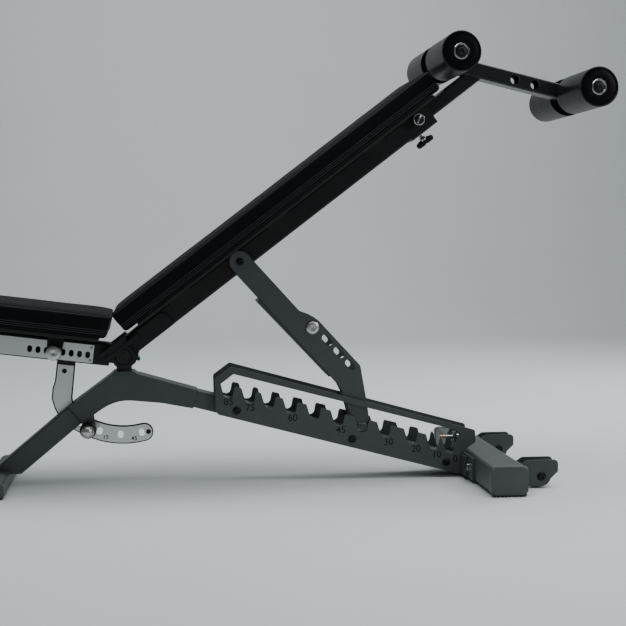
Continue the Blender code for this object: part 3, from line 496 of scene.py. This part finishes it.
def seamPath(skin, low, high, height):
    # where a level seam at this height runs round the cushion's side, in metres
    halfX, halfY = (high[0] - low[0]) / 2, (high[1] - low[1]) / 2
    centre = Vector(((low[0] + high[0]) / 2, (low[1] + high[1]) / 2, height))
    outer = roundedRectangle((-halfX - 0.02, -halfY - 0.02), (halfX + 0.02, halfY + 0.02), 0.04, 10)
    loop = [Vector((centre.x + p[0], centre.y + p[1], height)) for p in outer]
    dense = []
    for one, two in zip(loop, loop[1:] + loop[:1]):
        parts = max(1, int((two - one).length / 0.006))
        dense += [one.lerp(two, k / parts) for k in range(parts)]
    path = []
    for i, spot in enumerate(dense):
        along = (dense[(i + 1) % len(dense)] - dense[i - 1]).normalized()
        hit = skin.ray_cast(spot, Vector((-along.y, along.x, 0.0)), 0.2)[0]
        if hit:
            path.append(hit)
    return path


def upholster(name, node, body, place, shape):
    corners = [place.inverted() @ v.co for v in frame["nodes"][node].data.vertices]
    low = [min(c[k] for c in corners) / mm for k in range(3)]
    high = [max(c[k] for c in corners) / mm for k in range(3)]
    low[0], high[0] = low[0] + shape["reach"][0], high[0] + shape["reach"][1]
    bm = cushionMesh(low, high, shape)
    rows = [low[2] + rib for rib in shape["ribs"]] + [high[2] - shape["topSeam"]]
    bm.verts.index_update()
    stitched = {}
    for v in bm.verts:
        side = min(v.co.x - low[0], high[0] - v.co.x, v.co.y - low[1], high[1] - v.co.y) < shape["border"]
        if v.co.z < low[2] + 1.0:
            stitched[v.index] = 1.0
        elif side and min(abs(v.co.z - row) for row in rows) < 0.5:
            stitched[v.index] = 0.9
    mesh = bpy.data.meshes.new(name)
    bm.to_mesh(mesh)
    bm.free()
    mesh.transform(Matrix.Scale(mm, 4))
    cushion = bpy.data.objects.new(name, mesh)
    bpy.context.scene.collection.objects.link(cushion)
    blowUp(cushion, stitched, shape)
    for v in mesh.vertices:                        # the cover lies a little unevenly on its foam
        if v.co.z > (low[2] + 2.0) * mm:
            v.co += v.normal * (noise.noise(v.co / shape["swells"]) * shape["uneven"] * mm)
    finer = cushion.modifiers.new("finer", "SUBSURF")
    finer.levels = finer.render_levels = 1
    with bpy.context.temp_override(object=cushion, active_object=cushion, selected_objects=[cushion]):
        bpy.ops.object.modifier_apply(modifier="finer")
    skin = BVHTree.FromObject(cushion, bpy.context.evaluated_depsgraph_get())
    lowM, highM = [c * mm for c in low], [c * mm for c in high]
    for number, height in enumerate(rows, 1):
        bm = bmesh.new()
        path = seamPath(skin, lowM, highM, height * mm)
        cordRound(bm, [p / mm for p in path], shape["cord"], 6)
        kind = "rib" if number <= len(shape["ribs"]) else "welt"
        addPiece(f"{name}_{kind}_{number}", bm, place, "piping", body, sharp=80)
    cushion.data.transform(place)
    cushion.data.materials.append(finish["vinyl"])
    cushion.data.shade_smooth()
    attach(cushion, body)
    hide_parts(node)
    print(name, "upholstered")


cushionShape = {
    "slack": 0.8, "corner": 15.0, "topSeam": 7.5, "ribs": (10.5, 15.5, 20.5), "groove": 1.7, "cord": 0.95,
    "border": 14.0, "pressure": 3.0, "cap": 2.2, "uneven": 0.5, "swells": 1 / 22.0,
}
upholster("seatCushion", "seat_cushion", "seat", seatPlace,
          {**cushionShape, "lean": (2.0, -3.0), "reach": (0.0, 1.5)})
upholster("backCushion", "back_cushion", "back", backPlace,
          {**cushionShape, "lean": (1.0, 2.0), "reach": (-5.0, 0.0)})


# Foam rollers and the ends of their axles

rollerShape = {
    "radius": 50.0, "inner": 26.0, "outer": 203.5, "bore": 11.6, "edge": 4.0, "dish": 1.6, "cord": 1.1,
    "facets": 72,
}
endShape = {"ringOuter": 19.5, "ringInner": 14.6, "stand": 3.2, "plug": 13.4, "facets": 56}
rollerFace = rollerShape["outer"] - rollerShape["dish"]


def foamSleeve(name, place, sign, seed, node):
    s = rollerShape
    profile = [(s["inner"] + 1.0, s["bore"]), (s["inner"], s["bore"] + 8.0)]
    for y, turn, steps in ((s["inner"], 1, range(7)), (s["outer"], -1, range(6, -1, -1))):
        for k in steps:                                # the skin folds in at its rim
            fold = s["edge"] * (1 - math.sin(math.radians(90 * k / 6)))
            profile.append((y + turn * fold, s["radius"] - fold))
    profile += [(s["outer"] - 0.4, 30.0), (rollerFace, 23.0), (rollerFace, s["bore"])]
    bm = bmesh.new()
    rings = lathe(bm, [(sign * y, r) for y, r in profile], segments=s["facets"])
    joinRings(bm, rings[0], rings[-1])                 # the bore
    wave = np.random.default_rng(seed).uniform(0, 6.28, 6)
    for v in bm.verts:                                 # slack skin: slow swellings round the sleeve
        if math.hypot(v.co.x, v.co.z) > 35.0:
            a = math.atan2(v.co.z, v.co.x)
            swell = 0.35 * math.sin(3 * a + wave[0] + v.co.y * 0.02)
            swell += 0.25 * math.sin(v.co.y * 0.07 + wave[1])
            v.co.x *= 1 + (swell - 0.6) / s["radius"]
            v.co.z *= 1 + (swell - 0.6) / s["radius"]
    piece = addPiece(name, bm, place, "roller", node, sharp=50)
    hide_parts(node)


def rollerWelt(name, place, sign, node):
    s = rollerShape
    around = s["radius"] - s["edge"] * 0.6
    y = sign * (s["outer"] - s["edge"] * 0.22)
    turns = [2 * math.pi * k / s["facets"] for k in range(s["facets"])]
    bm = bmesh.new()
    cordRound(bm, [Vector((around * math.cos(a), y, around * math.sin(a))) for a in turns], s["cord"], 6)
    addPiece(name, bm, place, "piping", node, sharp=80)


def axleEnd(label, side, place, sign):
    # a plated ring round a moulded plug with a hex socket
    e = endShape
    face, proud = rollerFace, rollerFace + e["stand"]
    rows = [(face + 0.2, e["ringOuter"]), (proud - 1.0, e["ringOuter"]), (proud, e["ringOuter"] - 1.0),
            (proud, e["ringInner"] + 1.2), (proud - 1.2, e["ringInner"]), (face + 0.2, e["ringInner"])]
    bm = bmesh.new()
    rings = lathe(bm, [(sign * y, r) for y, r in rows], segments=e["facets"])
    joinRings(bm, rings[0], rings[-1])
    addPiece(f"{label}EndRing_{side}", bm, place, "chrome", "roller_attachment")
    rows = [(0.3, e["plug"]), (2.0, e["plug"]), (2.6, e["plug"] - 1.5), (2.6, 9.0), (4.2, 8.2), (4.6, 7.0),
            (4.6, 5.0, 6), (2.4, 4.6, 6)]
    bm = bmesh.new()
    turnedSolid(bm, [(sign * (face + y), *rest) for y, *rest in rows])
    addPiece(f"{label}EndPlug_{side}", bm, place, "plastic", "roller_attachment")


def foamRoller(label, side, sign):
    at = middleOf(label + "_axle")
    place = Matrix.Translation((at.x, 0.0, at.z))
    node = f"{label}_roller_{side}"
    foamSleeve(f"{label}Roller_{side}", place, sign, 11 + len(label) * 3 + int(sign), node)
    rollerWelt(f"{label}RollerWelt_{side}", place, sign, node)
    axleEnd(label, side, place, sign)


for label in ("upper", "lower"):
    for side, sign in (("near", -1.0), ("far", 1.0)):
        foamRoller(label, side, sign)
print("rollers made")


# Bolts, pins and knobs

def boltRows(low, high, b):
    # a bolt with a button head and a hex socket at each end
    end = [(b["depth"], b["socket"] * 0.9, 6), (0.3, b["socket"], 6), (0.0, b["socket"] + 0.7),
           (0.0, b["head"] * 0.62), (b["height"] * 0.25, b["head"] * 0.86),
           (b["height"] * 0.6, b["head"] * 0.98), (b["height"], b["head"]), (b["height"], b["shaft"])]
    return [(low + row[0],) + row[1:] for row in end] + [(high - row[0],) + row[1:] for row in reversed(end)]


wheelBolt = {"head": 11.0, "height": 4.7, "socket": 4.8, "depth": 3.0, "shaft": 5.0}
ladderBolt = {"head": 10.0, "height": 5.7, "socket": 4.8, "depth": 3.2, "shaft": 5.3}
bolts = {
    "ladder_bolt_1": ("blackBolt", ladderBolt),
    "ladder_bolt_2": ("blackBolt", ladderBolt),
    "ladder_bolt_3": ("blackBolt", ladderBolt),
    "prop_cross_bolt": ("satin", {"head": 17.6, "height": 7.6, "socket": 5.6, "depth": 3.6, "shaft": 5.0}),
    "prop_bolt": ("blackBolt", {"head": 9.4, "height": 6.1, "socket": 4.4, "depth": 3.0, "shaft": 6.0}),
    "wheel_axle_near": ("blackBolt", wheelBolt),
    "wheel_axle_far": ("blackBolt", wheelBolt),
}
for node, (finishName, b) in bolts.items():
    low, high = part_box(node)
    bm = bmesh.new()
    turnedSolid(bm, boltRows(low.y / mm, high.y / mm, b))
    place = Matrix.Translation(((low.x + high.x) / 2, 0.0, (low.z + high.z) / 2))
    piece = addPiece(node + "Head", bm, place, finishName, bodyOf(node))
    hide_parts(node)


def turnedPiece(name, rows, place, x, z, finishName, body):
    bm = bmesh.new()
    turnedSolid(bm, rows, x, z, 64)
    return addPiece(name, bm, place, finishName, body)


slidePin = {"x": -170.6, "z": -7.0, "face": -74.4, "back": -54.6, "radius": 19.0, "shaft": 5.0, "tip": -31.8}
p = slidePin
finish["turnedKnob"] = turnedSteel("turnedKnobSteel", "#c9cac8",
                                   seatPlace @ Vector((p["x"] * mm, 0.0, p["z"] * mm)), "brushed_steel")
slideKnob = turnedPiece("slidePinKnob", [
    (p["face"] + 0.5, 1.2), (p["face"], 2.2), (p["face"], p["radius"] - 2.4),
    (p["face"] + 1.0, p["radius"] - 0.9), (p["face"] + 2.6, p["radius"]), (p["back"] - 3.4, p["radius"]),
    (p["back"] - 1.6, p["radius"] - 1.0), (p["back"], p["radius"] - 4.5), (p["back"], p["shaft"]),
    (p["tip"] - 1.7, p["shaft"]), (p["tip"], 4.0)], seatPlace, p["x"], p["z"], "turnedKnob", "slide_pin")
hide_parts("slide_pin")

quadrantPinAt = middleOf("quadrant_pin")
lockPlace = Matrix.Translation((quadrantPinAt.x, 0.0, quadrantPinAt.z))
ball = {"middle": -77.4, "long": 14.6, "radius": 16.5, "neck": 6.0, "tip": -5.6}
rows = []
for k in range(1, 13):
    a = math.radians(12.2 * k)
    rows.append((ball["middle"] - ball["long"] * math.cos(a), ball["radius"] * math.sin(a)))
rows += [(-64.4, 6.6), (-63.6, ball["neck"]), (-8.0, ball["neck"]), (ball["tip"], 4.5)]
quadrantKnob = turnedPiece("quadrantPinBall", rows, lockPlace, 0.0, 0.0, "satin", "quadrant_pin")
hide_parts("quadrant_pin")
collar = [(-62.0, 8.0), (-62.0, 15.5), (-61.0, 17.6), (-60.2, 19.6), (-57.4, 20.4)]
for y in (-55.6, -52.2, -48.8):
    collar += [(y - 1.2, 20.4), (y - 0.7, 19.0), (y + 0.7, 19.0), (y + 1.2, 20.4)]
collar += [(-45.0, 20.4), (-43.8, 17.3)]
turnedPiece("quadrantLockCollar", collar, lockPlace, 0.0, 0.0, "plastic", "base")

receiverPin = {"x": 955.0, "z": 18.5, "face": -60.4, "radius": 15.4, "hollow": 11.4, "deep": 3.4}
p = receiverPin
head = turnedPiece("receiverPinHead", [
    (p["face"] + p["deep"], p["hollow"] - 0.6), (p["face"] + 0.8, p["hollow"]),
    (p["face"], p["hollow"] + 0.9), (p["face"], p["radius"] - 1.3), (p["face"] + 1.4, p["radius"]),
    (-50.0, p["radius"]), (-48.3, 13.6), (-48.3, 5.0), (-21.5, 5.0), (-19.6, 4.0)],
    backPlace, p["x"], p["z"], "chrome", "receiver_pin")
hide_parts("receiver_pin")
rows = [(p["face"] + 2.2, 4.0), (p["face"] + 2.2, 9.6), (p["face"] + 2.8, 11.0), (p["face"] + 4.4, 11.2)]
turnedPiece("receiverPinInsert", rows, backPlace, p["x"], p["z"], "plastic", "receiver_pin")
bm = bmesh.new()
slab(bm, roundedRectangle((-10.6, -2.6), (10.6, 2.6), 2.3), p["face"] + 0.5, p["face"] + 3.0, 0.5)
addPiece("receiverPinBar", bm, backPlace @ Matrix.Translation((p["x"] * mm, 0.0, p["z"] * mm))
         @ Matrix.Rotation(math.radians(-32), 4, "Y"), "chrome", "receiver_pin")

thumb = {"x": 946.0, "stem": 4.6, "top": -2.2, "threads": 9, "pitch": 2.2, "thick": 5.2}
p = thumb
stemPlace = backPlace @ Matrix.Translation((p["x"] * mm, 0.0, 0.0))
stemPlace = stemPlace @ Matrix.Rotation(math.radians(90), 4, "X")
rows = [(p["top"], p["stem"] - 0.8)]
for k in range(p["threads"]):
    crest = p["top"] - 2.0 - p["pitch"] * k
    rows += [(crest + 1.1, p["stem"] - 0.6), (crest, p["stem"])]
rows += [(-25.0, p["stem"]), (-27.0, 7.4), (-31.0, 8.6), (-36.0, 8.6)]
stem = turnedPiece("thumbScrewStem", rows, stemPlace, 0.0, 0.0, "chrome", "thumb_screw")
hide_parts("thumb_screw")
half = [(0.0, -30.5), (8.0, -30.8), (13.5, -34.2), (19.0, -34.0), (23.4, -35.4), (25.2, -39.5), (24.6, -45.0),
        (21.0, -48.2), (14.0, -48.6), (8.0, -46.8), (0.0, -46.2)]
bm = bmesh.new()
slab(bm, [(p["x"] + x, z) for x, z in half] + [(p["x"] - x, z) for x, z in half[-2:0:-1]],
     -p["thick"], p["thick"], 2.2, 3)
addPiece("thumbScrewWing", bm, backPlace, "plastic", "thumb_screw", sharp=60)

pinPlace = Matrix.Translation((pinAt.x, 0.0, pinAt.z))
pinEnd = [(47.6, 10.4), (53.6, 10.6), (54.9, 9.4), (54.9, 7.4), (53.4, 6.6), (53.4, 5.4), (54.6, 4.8),
          (54.6, 1.0)]
pivotCap = [(46.2, 19.4), (54.6, 19.4), (55.7, 18.4), (55.9, 15.6), (55.2, 15.0), (55.2, 11.0), (55.8, 10.4),
            (55.8, 1.0)]
for side, sign in (("near", -1.0), ("far", 1.0)):
    turnedPiece(f"propPinEnd_{side}", [(sign * y, r) for y, r in pinEnd], pinPlace, 0.0, 0.0, "coat", "prop")
    node = f"pivot_cap_{side}"
    cap = turnedPiece(f"pivotCap_{side}", [(sign * y, r) for y, r in pivotCap], pivotPlace, 0.0, 0.0,
                      "plastic", bodyOf(node))
    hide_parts(node)
print("bolts, pins and knobs made")


# Numbers, screws and fittings on the plates

def number(text, height, at, finishName, body, faceAway=False, depth=0.16):
    # height in millimetres of the digits, at their middle
    curve = bpy.data.curves.new("number" + text, "FONT")
    curve.body = text
    curve.align_x, curve.align_y = "CENTER", "CENTER"
    curve.size = height * mm / 0.69
    curve.extrude = depth * mm
    curve.offset = 0.0002
    shown = bpy.data.objects.new("number" + text, curve)
    bpy.context.scene.collection.objects.link(shown)
    flat = bpy.data.meshes.new_from_object(shown.evaluated_get(bpy.context.evaluated_depsgraph_get()))
    bpy.data.objects.remove(shown)
    stand = Matrix.Rotation(math.radians(90), 4, "X")
    turnRound = Matrix.Rotation(math.pi if faceAway else 0.0, 4, "Z")
    flat.transform(Matrix.Translation(at) @ turnRound @ stand)
    flat.materials.clear()
    flat.materials.append(finish[finishName])
    piece = bpy.data.objects.new("numberOn" + body + text + ("Far" if faceAway else ""), flat)
    bpy.context.scene.collection.objects.link(piece)
    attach(piece, body)


plateFace = {"ladder": 54.0, "quadrant": -5.0}         # how far out the marked faces stand
digitHeight = {"ladder": 17.5, "quadrant": 10.5}
rungNumbers = {"85": (-350.6, -19.5), "75": (-293.9, -20.3), "60": (-182.2, -19.8), "45": (-53.3, -20.0),
               "30": (75.1, -20.6), "20": (150.2, -21.1), "10": (207.0, -22.2), "0": (257.7, -22.1)}
for text, (u, w) in rungNumbers.items():
    for y, away in ((-plateFace["ladder"], False), (plateFace["ladder"], True)):
        number(text, digitHeight["ladder"], ladderPlace @ (Vector((u, y, w)) * mm), "ink", "base", away)
for text, (x, z) in {"15": (-22.3, -214.0), "45": (49.4, -209.6)}.items():
    spot = seatPlace @ (Vector((x, plateFace["quadrant"], z)) * mm)
    number(text, digitHeight["quadrant"], spot, "ink", "seat_frame")


def smallScrew(name, place, x, z, y0, y1, radius, socket, finishName, body):
    sign = math.copysign(1.0, y1 - y0)
    turnedPiece(name, [(y0, radius), (y1 - sign * 0.6, radius), (y1, radius - 0.8), (y1, socket + 0.4),
                       (y1 - sign * 0.2, socket, 6), (y1 - sign * 1.4, socket * 0.9, 6)],
                place, x, z, finishName, body)


smallScrew("quadrantEndScrew", seatPlace, 83.2, -188.3, -4.9, -7.4, 6.2, 3.4, "blackBolt", "seat_frame")
smallScrew("quadrantTopScrew", seatPlace, -142.8, -56.5, -4.9, -7.4, 6.0, 3.2, "blackBolt", "seat_frame")
for side, y in (("near", -31.2), ("far", 31.2)):
    for k, (x, z) in enumerate(((-81.5, 12.2), (-81.5, -19.8), (-325.0, 12.2), (-325.0, -19.8))):
        smallScrew(f"scaleScrew_{side}_{k + 1}", seatPlace, x, z, y, y * 1.045, 3.0, 1.6, "blackBolt",
                   "seat_frame")


capShape = {"lift": 4.6, "tooth": 8.6, "corner": 8.0, "edge": 6.0, "inset": 1.2}


def footCap(name, node, finishName):
    # a moulded end cap with rounded corners, over a tread cut into saw teeth
    low, high = [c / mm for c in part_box(node)]
    lift = capShape["lift"]
    bm = bmesh.new()
    slab(bm, roundedRectangle((low.x, low.z + lift), (high.x, high.z), capShape["corner"]), low.y, high.y,
         capShape["edge"], 5)
    cap = addPiece(name, bm, Matrix.Identity(4), finishName, "base", sharp=60)
    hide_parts(node)
    x0, x1 = low.x + 3.0, high.x - 3.0
    count = int((x1 - x0) / capShape["tooth"])
    step = (x1 - x0) / count
    valley = low.z + lift - 0.4
    outline = [(x1, low.z + lift + 1.5), (x0, low.z + lift + 1.5)]
    for k in range(count):
        outline += [(x0 + step * (k + 0.02), valley), (x0 + step * (k + 0.35), low.z),
                    (x0 + step * (k + 0.65), low.z)]
    outline.append((x1, valley))
    bm = bmesh.new()
    slab(bm, outline, low.y + capShape["inset"], high.y - capShape["inset"])
    addPiece(name + "Tread", bm, Matrix.Identity(4), "rubber", "base")


for side in ("near", "far"):
    footCap(f"rearFootCap_{side}", f"rear_foot_cap_{side}", "capRubber")
    footCap(f"frontFootCap_{side}", f"front_foot_cap_{side}", "capRubber")

# Painted shadow: black strips set into the seam where the leg meets the apex, standing in for the shade in
# that joint
bm = bmesh.new()
for y in (-35.4, 33.0):                                # painted shadow: two black strips for the shaded seam; the quadrant swings between them
    slab(bm, [(-2.6, -27.6), (0.6, -27.6), (0.6, 27.6), (-2.6, 27.6)], y, y + 2.4)
legJointPlace = sidePlace(pivotAt + Vector((-122.0, 0.0, -146.5)) * mm, 40.0)
addPiece("legJointShadowStrips", bm, legJointPlace, "plastic", "base")

alongBench = Matrix.Rotation(math.radians(-90), 4, "Z")    # turns a lathed piece's axis to the bench's length
flangeBolt = [(-9.0, 5.0), (-9.0, 7.4), (-8.2, 9.4, 6), (-1.8, 9.4, 6), (-1.8, 11.4), (0.2, 11.4)]
for side, y in (("near", -118.0), ("far", 118.0)):
    place = floorPlace @ Matrix.Translation(Vector((870.6, y, 38.0)) * mm) @ alongBench
    turnedPiece(f"flangeBolt_{side}", flangeBolt, place, 0.0, 0.0, "chrome", "base")

cheekBolt = {"x": 24.0, "z": -28.5}
turnedPiece("cheekBolt", [(-34.8, 3.0), (34.8, 3.0)], backPlace, cheekBolt["x"], cheekBolt["z"], "blackBolt",
            "back")
rows = [(-30.0, 3.2), (-30.0, 5.6, 6), (-22.0, 5.6, 6), (-22.0, 5.0), (-12.0, 5.0), (-12.0, 3.2)]
turnedPiece("cheekLockNut", rows, backPlace, cheekBolt["x"], cheekBolt["z"], "teal", "back")

bm = bmesh.new()
slab(bm, roundedRectangle((-126.0, -17.0), (-80.0, 3.0), 2.0), -27.5, -26.6)
addPiece("slotBacking", bm, seatPlace, "ink", "seat_frame")

catchLow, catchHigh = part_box("ladder_catch")
catchTip = Vector((catchLow.x, (catchLow.y + catchHigh.y) / 2, (catchLow.z + catchHigh.z) / 2))
catchPlace = Matrix.Translation(catchTip) @ alongBench
rows = [(0.0, 2.6), (1.2, 4.0), (13.0, 4.0), (13.6, 3.2), (15.0, 3.2), (15.6, 4.0), (42.0, 4.0), (42.0, 6.4),
        (42.8, 7.0), (58.0, 7.0), (59.0, 5.0)]
rod = turnedPiece("ladderCatchRod", rows, catchPlace, 0.0, 0.0, "chrome", "ladder_catch")
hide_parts("ladder_catch")
rows = [(-0.6, 2.6), (0.4, 4.3), (12.6, 4.3), (12.6, 3.8)]
turnedPiece("ladderCatchTip", rows, catchPlace, 0.0, 0.0, "brass", "ladder_catch")
rows = [(58.6, 6.0), (59.2, 7.2), (63.0, 7.2), (63.6, 6.4), (65.4, 6.4), (66.0, 7.2), (72.0, 7.2),
        (73.0, 6.0), (79.4, 5.4), (80.6, 4.2)]
turnedPiece("ladderCatchGrip", rows, catchPlace, 0.0, 0.0, "plastic", "ladder_catch")
ringSpot = {"x": 36.5, "drop": 8.5, "radius": 5.2, "wire": 1.3, "facets": 28}
turns = [2 * math.pi * k / ringSpot["facets"] for k in range(ringSpot["facets"])]
loop = [Vector((ringSpot["radius"] * math.cos(a), 0.0, -ringSpot["drop"] + ringSpot["radius"] * math.sin(a)))
        for a in turns]
bm = bmesh.new()
cordRound(bm, loop, ringSpot["wire"], 8)
ringPlace = Matrix.Translation(catchTip + Vector((ringSpot["x"] * mm, 0.0, 0.0)))
addPiece("ladderCatchRing", bm, ringPlace, "chrome", "ladder_catch")
print("fittings made")


# Floor, light and camera

# the studio is measured in metres
studio = {
    "floor": "#d3d7d7", "floorLight": "#dadddd", "air": "#b3baba", "airStrength": 0.24,
    "halfWidth": 9.0, "front": -4.5, "wallAt": 5.5, "wallHeight": 5.0, "bend": 1.6,
}


def buildStudio():
    # one sheet of paper: flat on the floor, then bent up into the wall behind the bench
    wall, bend = studio["wallAt"], studio["bend"]
    turns = [math.radians(90 * k / 16) for k in range(17)]
    curve = [(wall - bend + bend * math.sin(a), bend - bend * math.cos(a)) for a in turns]
    rows = [(studio["front"], 0.0)] + curve + [(wall, studio["wallHeight"])]
    bm = bmesh.new()
    lines = [[bm.verts.new((x, y, z)) for x in (-studio["halfWidth"], studio["halfWidth"])] for y, z in rows]
    for one, two in zip(lines, lines[1:]):
        bm.faces.new((one[0], one[1], two[1], two[0]))
    mesh = bpy.data.meshes.new("studioFloor")
    bm.to_mesh(mesh)
    bm.free()
    mesh.shade_smooth()
    floor = bpy.data.objects.new("studioFloor", mesh)
    floor.location.z = -0.0006                         # just under the feet
    bpy.context.scene.collection.objects.link(floor)
    paper, tree, shader = startFinish("paleBackdropPaper", "rubber", studio["floor"], 0.75)
    where = placeOn(tree)
    mottle(tree, shader, where, 0.4, studio["floor"], studio["floorLight"], 0.7, 0.8)
    mesh.materials.append(paper)
    air = bpy.data.worlds.new("studioAir")
    bpy.context.scene.world = air
    air.use_nodes = True
    sky = air.node_tree.nodes["Background"]
    sky.inputs["Color"].default_value = linear(studio["air"])
    sky.inputs["Strength"].default_value = studio["airStrength"]


softBoxes = {
    "overhead": {"at": (0.2, -0.1, 3.0), "look": (0.2, 0.0, 0.3), "size": (3.6, 2.0), "power": 115.0},
    "front": {"at": (3.4, -2.9, 2.3), "look": (0.0, 0.0, 0.4), "size": (1.6, 1.6), "power": 42.0},
    "rim": {"at": (2.8, 1.4, 1.8), "look": (0.2, 0.0, 0.5), "size": (1.0, 2.0), "power": 45.0},
    "wall": {"at": (0.2, 1.9, 3.4), "look": (0.2, 5.5, 1.5), "size": (5.0, 1.0), "power": 95.0},
}


def aim(thing, at, look):
    thing.location = Vector(at)
    thing.rotation_euler = (Vector(look) - Vector(at)).to_track_quat("-Z", "Y").to_euler()


def addLights():
    for name, s in softBoxes.items():
        lamp = bpy.data.lights.new(name + "SoftBox", "AREA")
        lamp.shape = "RECTANGLE"
        lamp.size, lamp.size_y = s["size"]
        lamp.energy = s["power"]
        lamp.color = linear("#f4f8fa")[:3]
        thing = bpy.data.objects.new(name + "SoftBox", lamp)
        bpy.context.scene.collection.objects.link(thing)
        aim(thing, s["at"], s["look"])


# fromPivot in metres, turn and down in degrees, lens and sensor in millimetres
camera = {"fromPivot": (0.0807, -3.0714, 0.3114), "turn": 7.464, "down": 3.871, "lens": 69.14, "sensor": 36.0}


def addCamera():
    lens = bpy.data.cameras.new("benchCamera")
    lens.lens = camera["lens"]
    lens.sensor_width = camera["sensor"]
    lens.clip_end = 60.0
    thing = bpy.data.objects.new("benchCamera", lens)
    bpy.context.scene.collection.objects.link(thing)
    thing.location = pivotAt + Vector(camera["fromPivot"])
    thing.rotation_euler = (math.radians(90.0 - camera["down"]), 0.0, -math.radians(camera["turn"]))
    bpy.context.scene.camera = thing


buildStudio()
addLights()
addCamera()
print("studio ready")
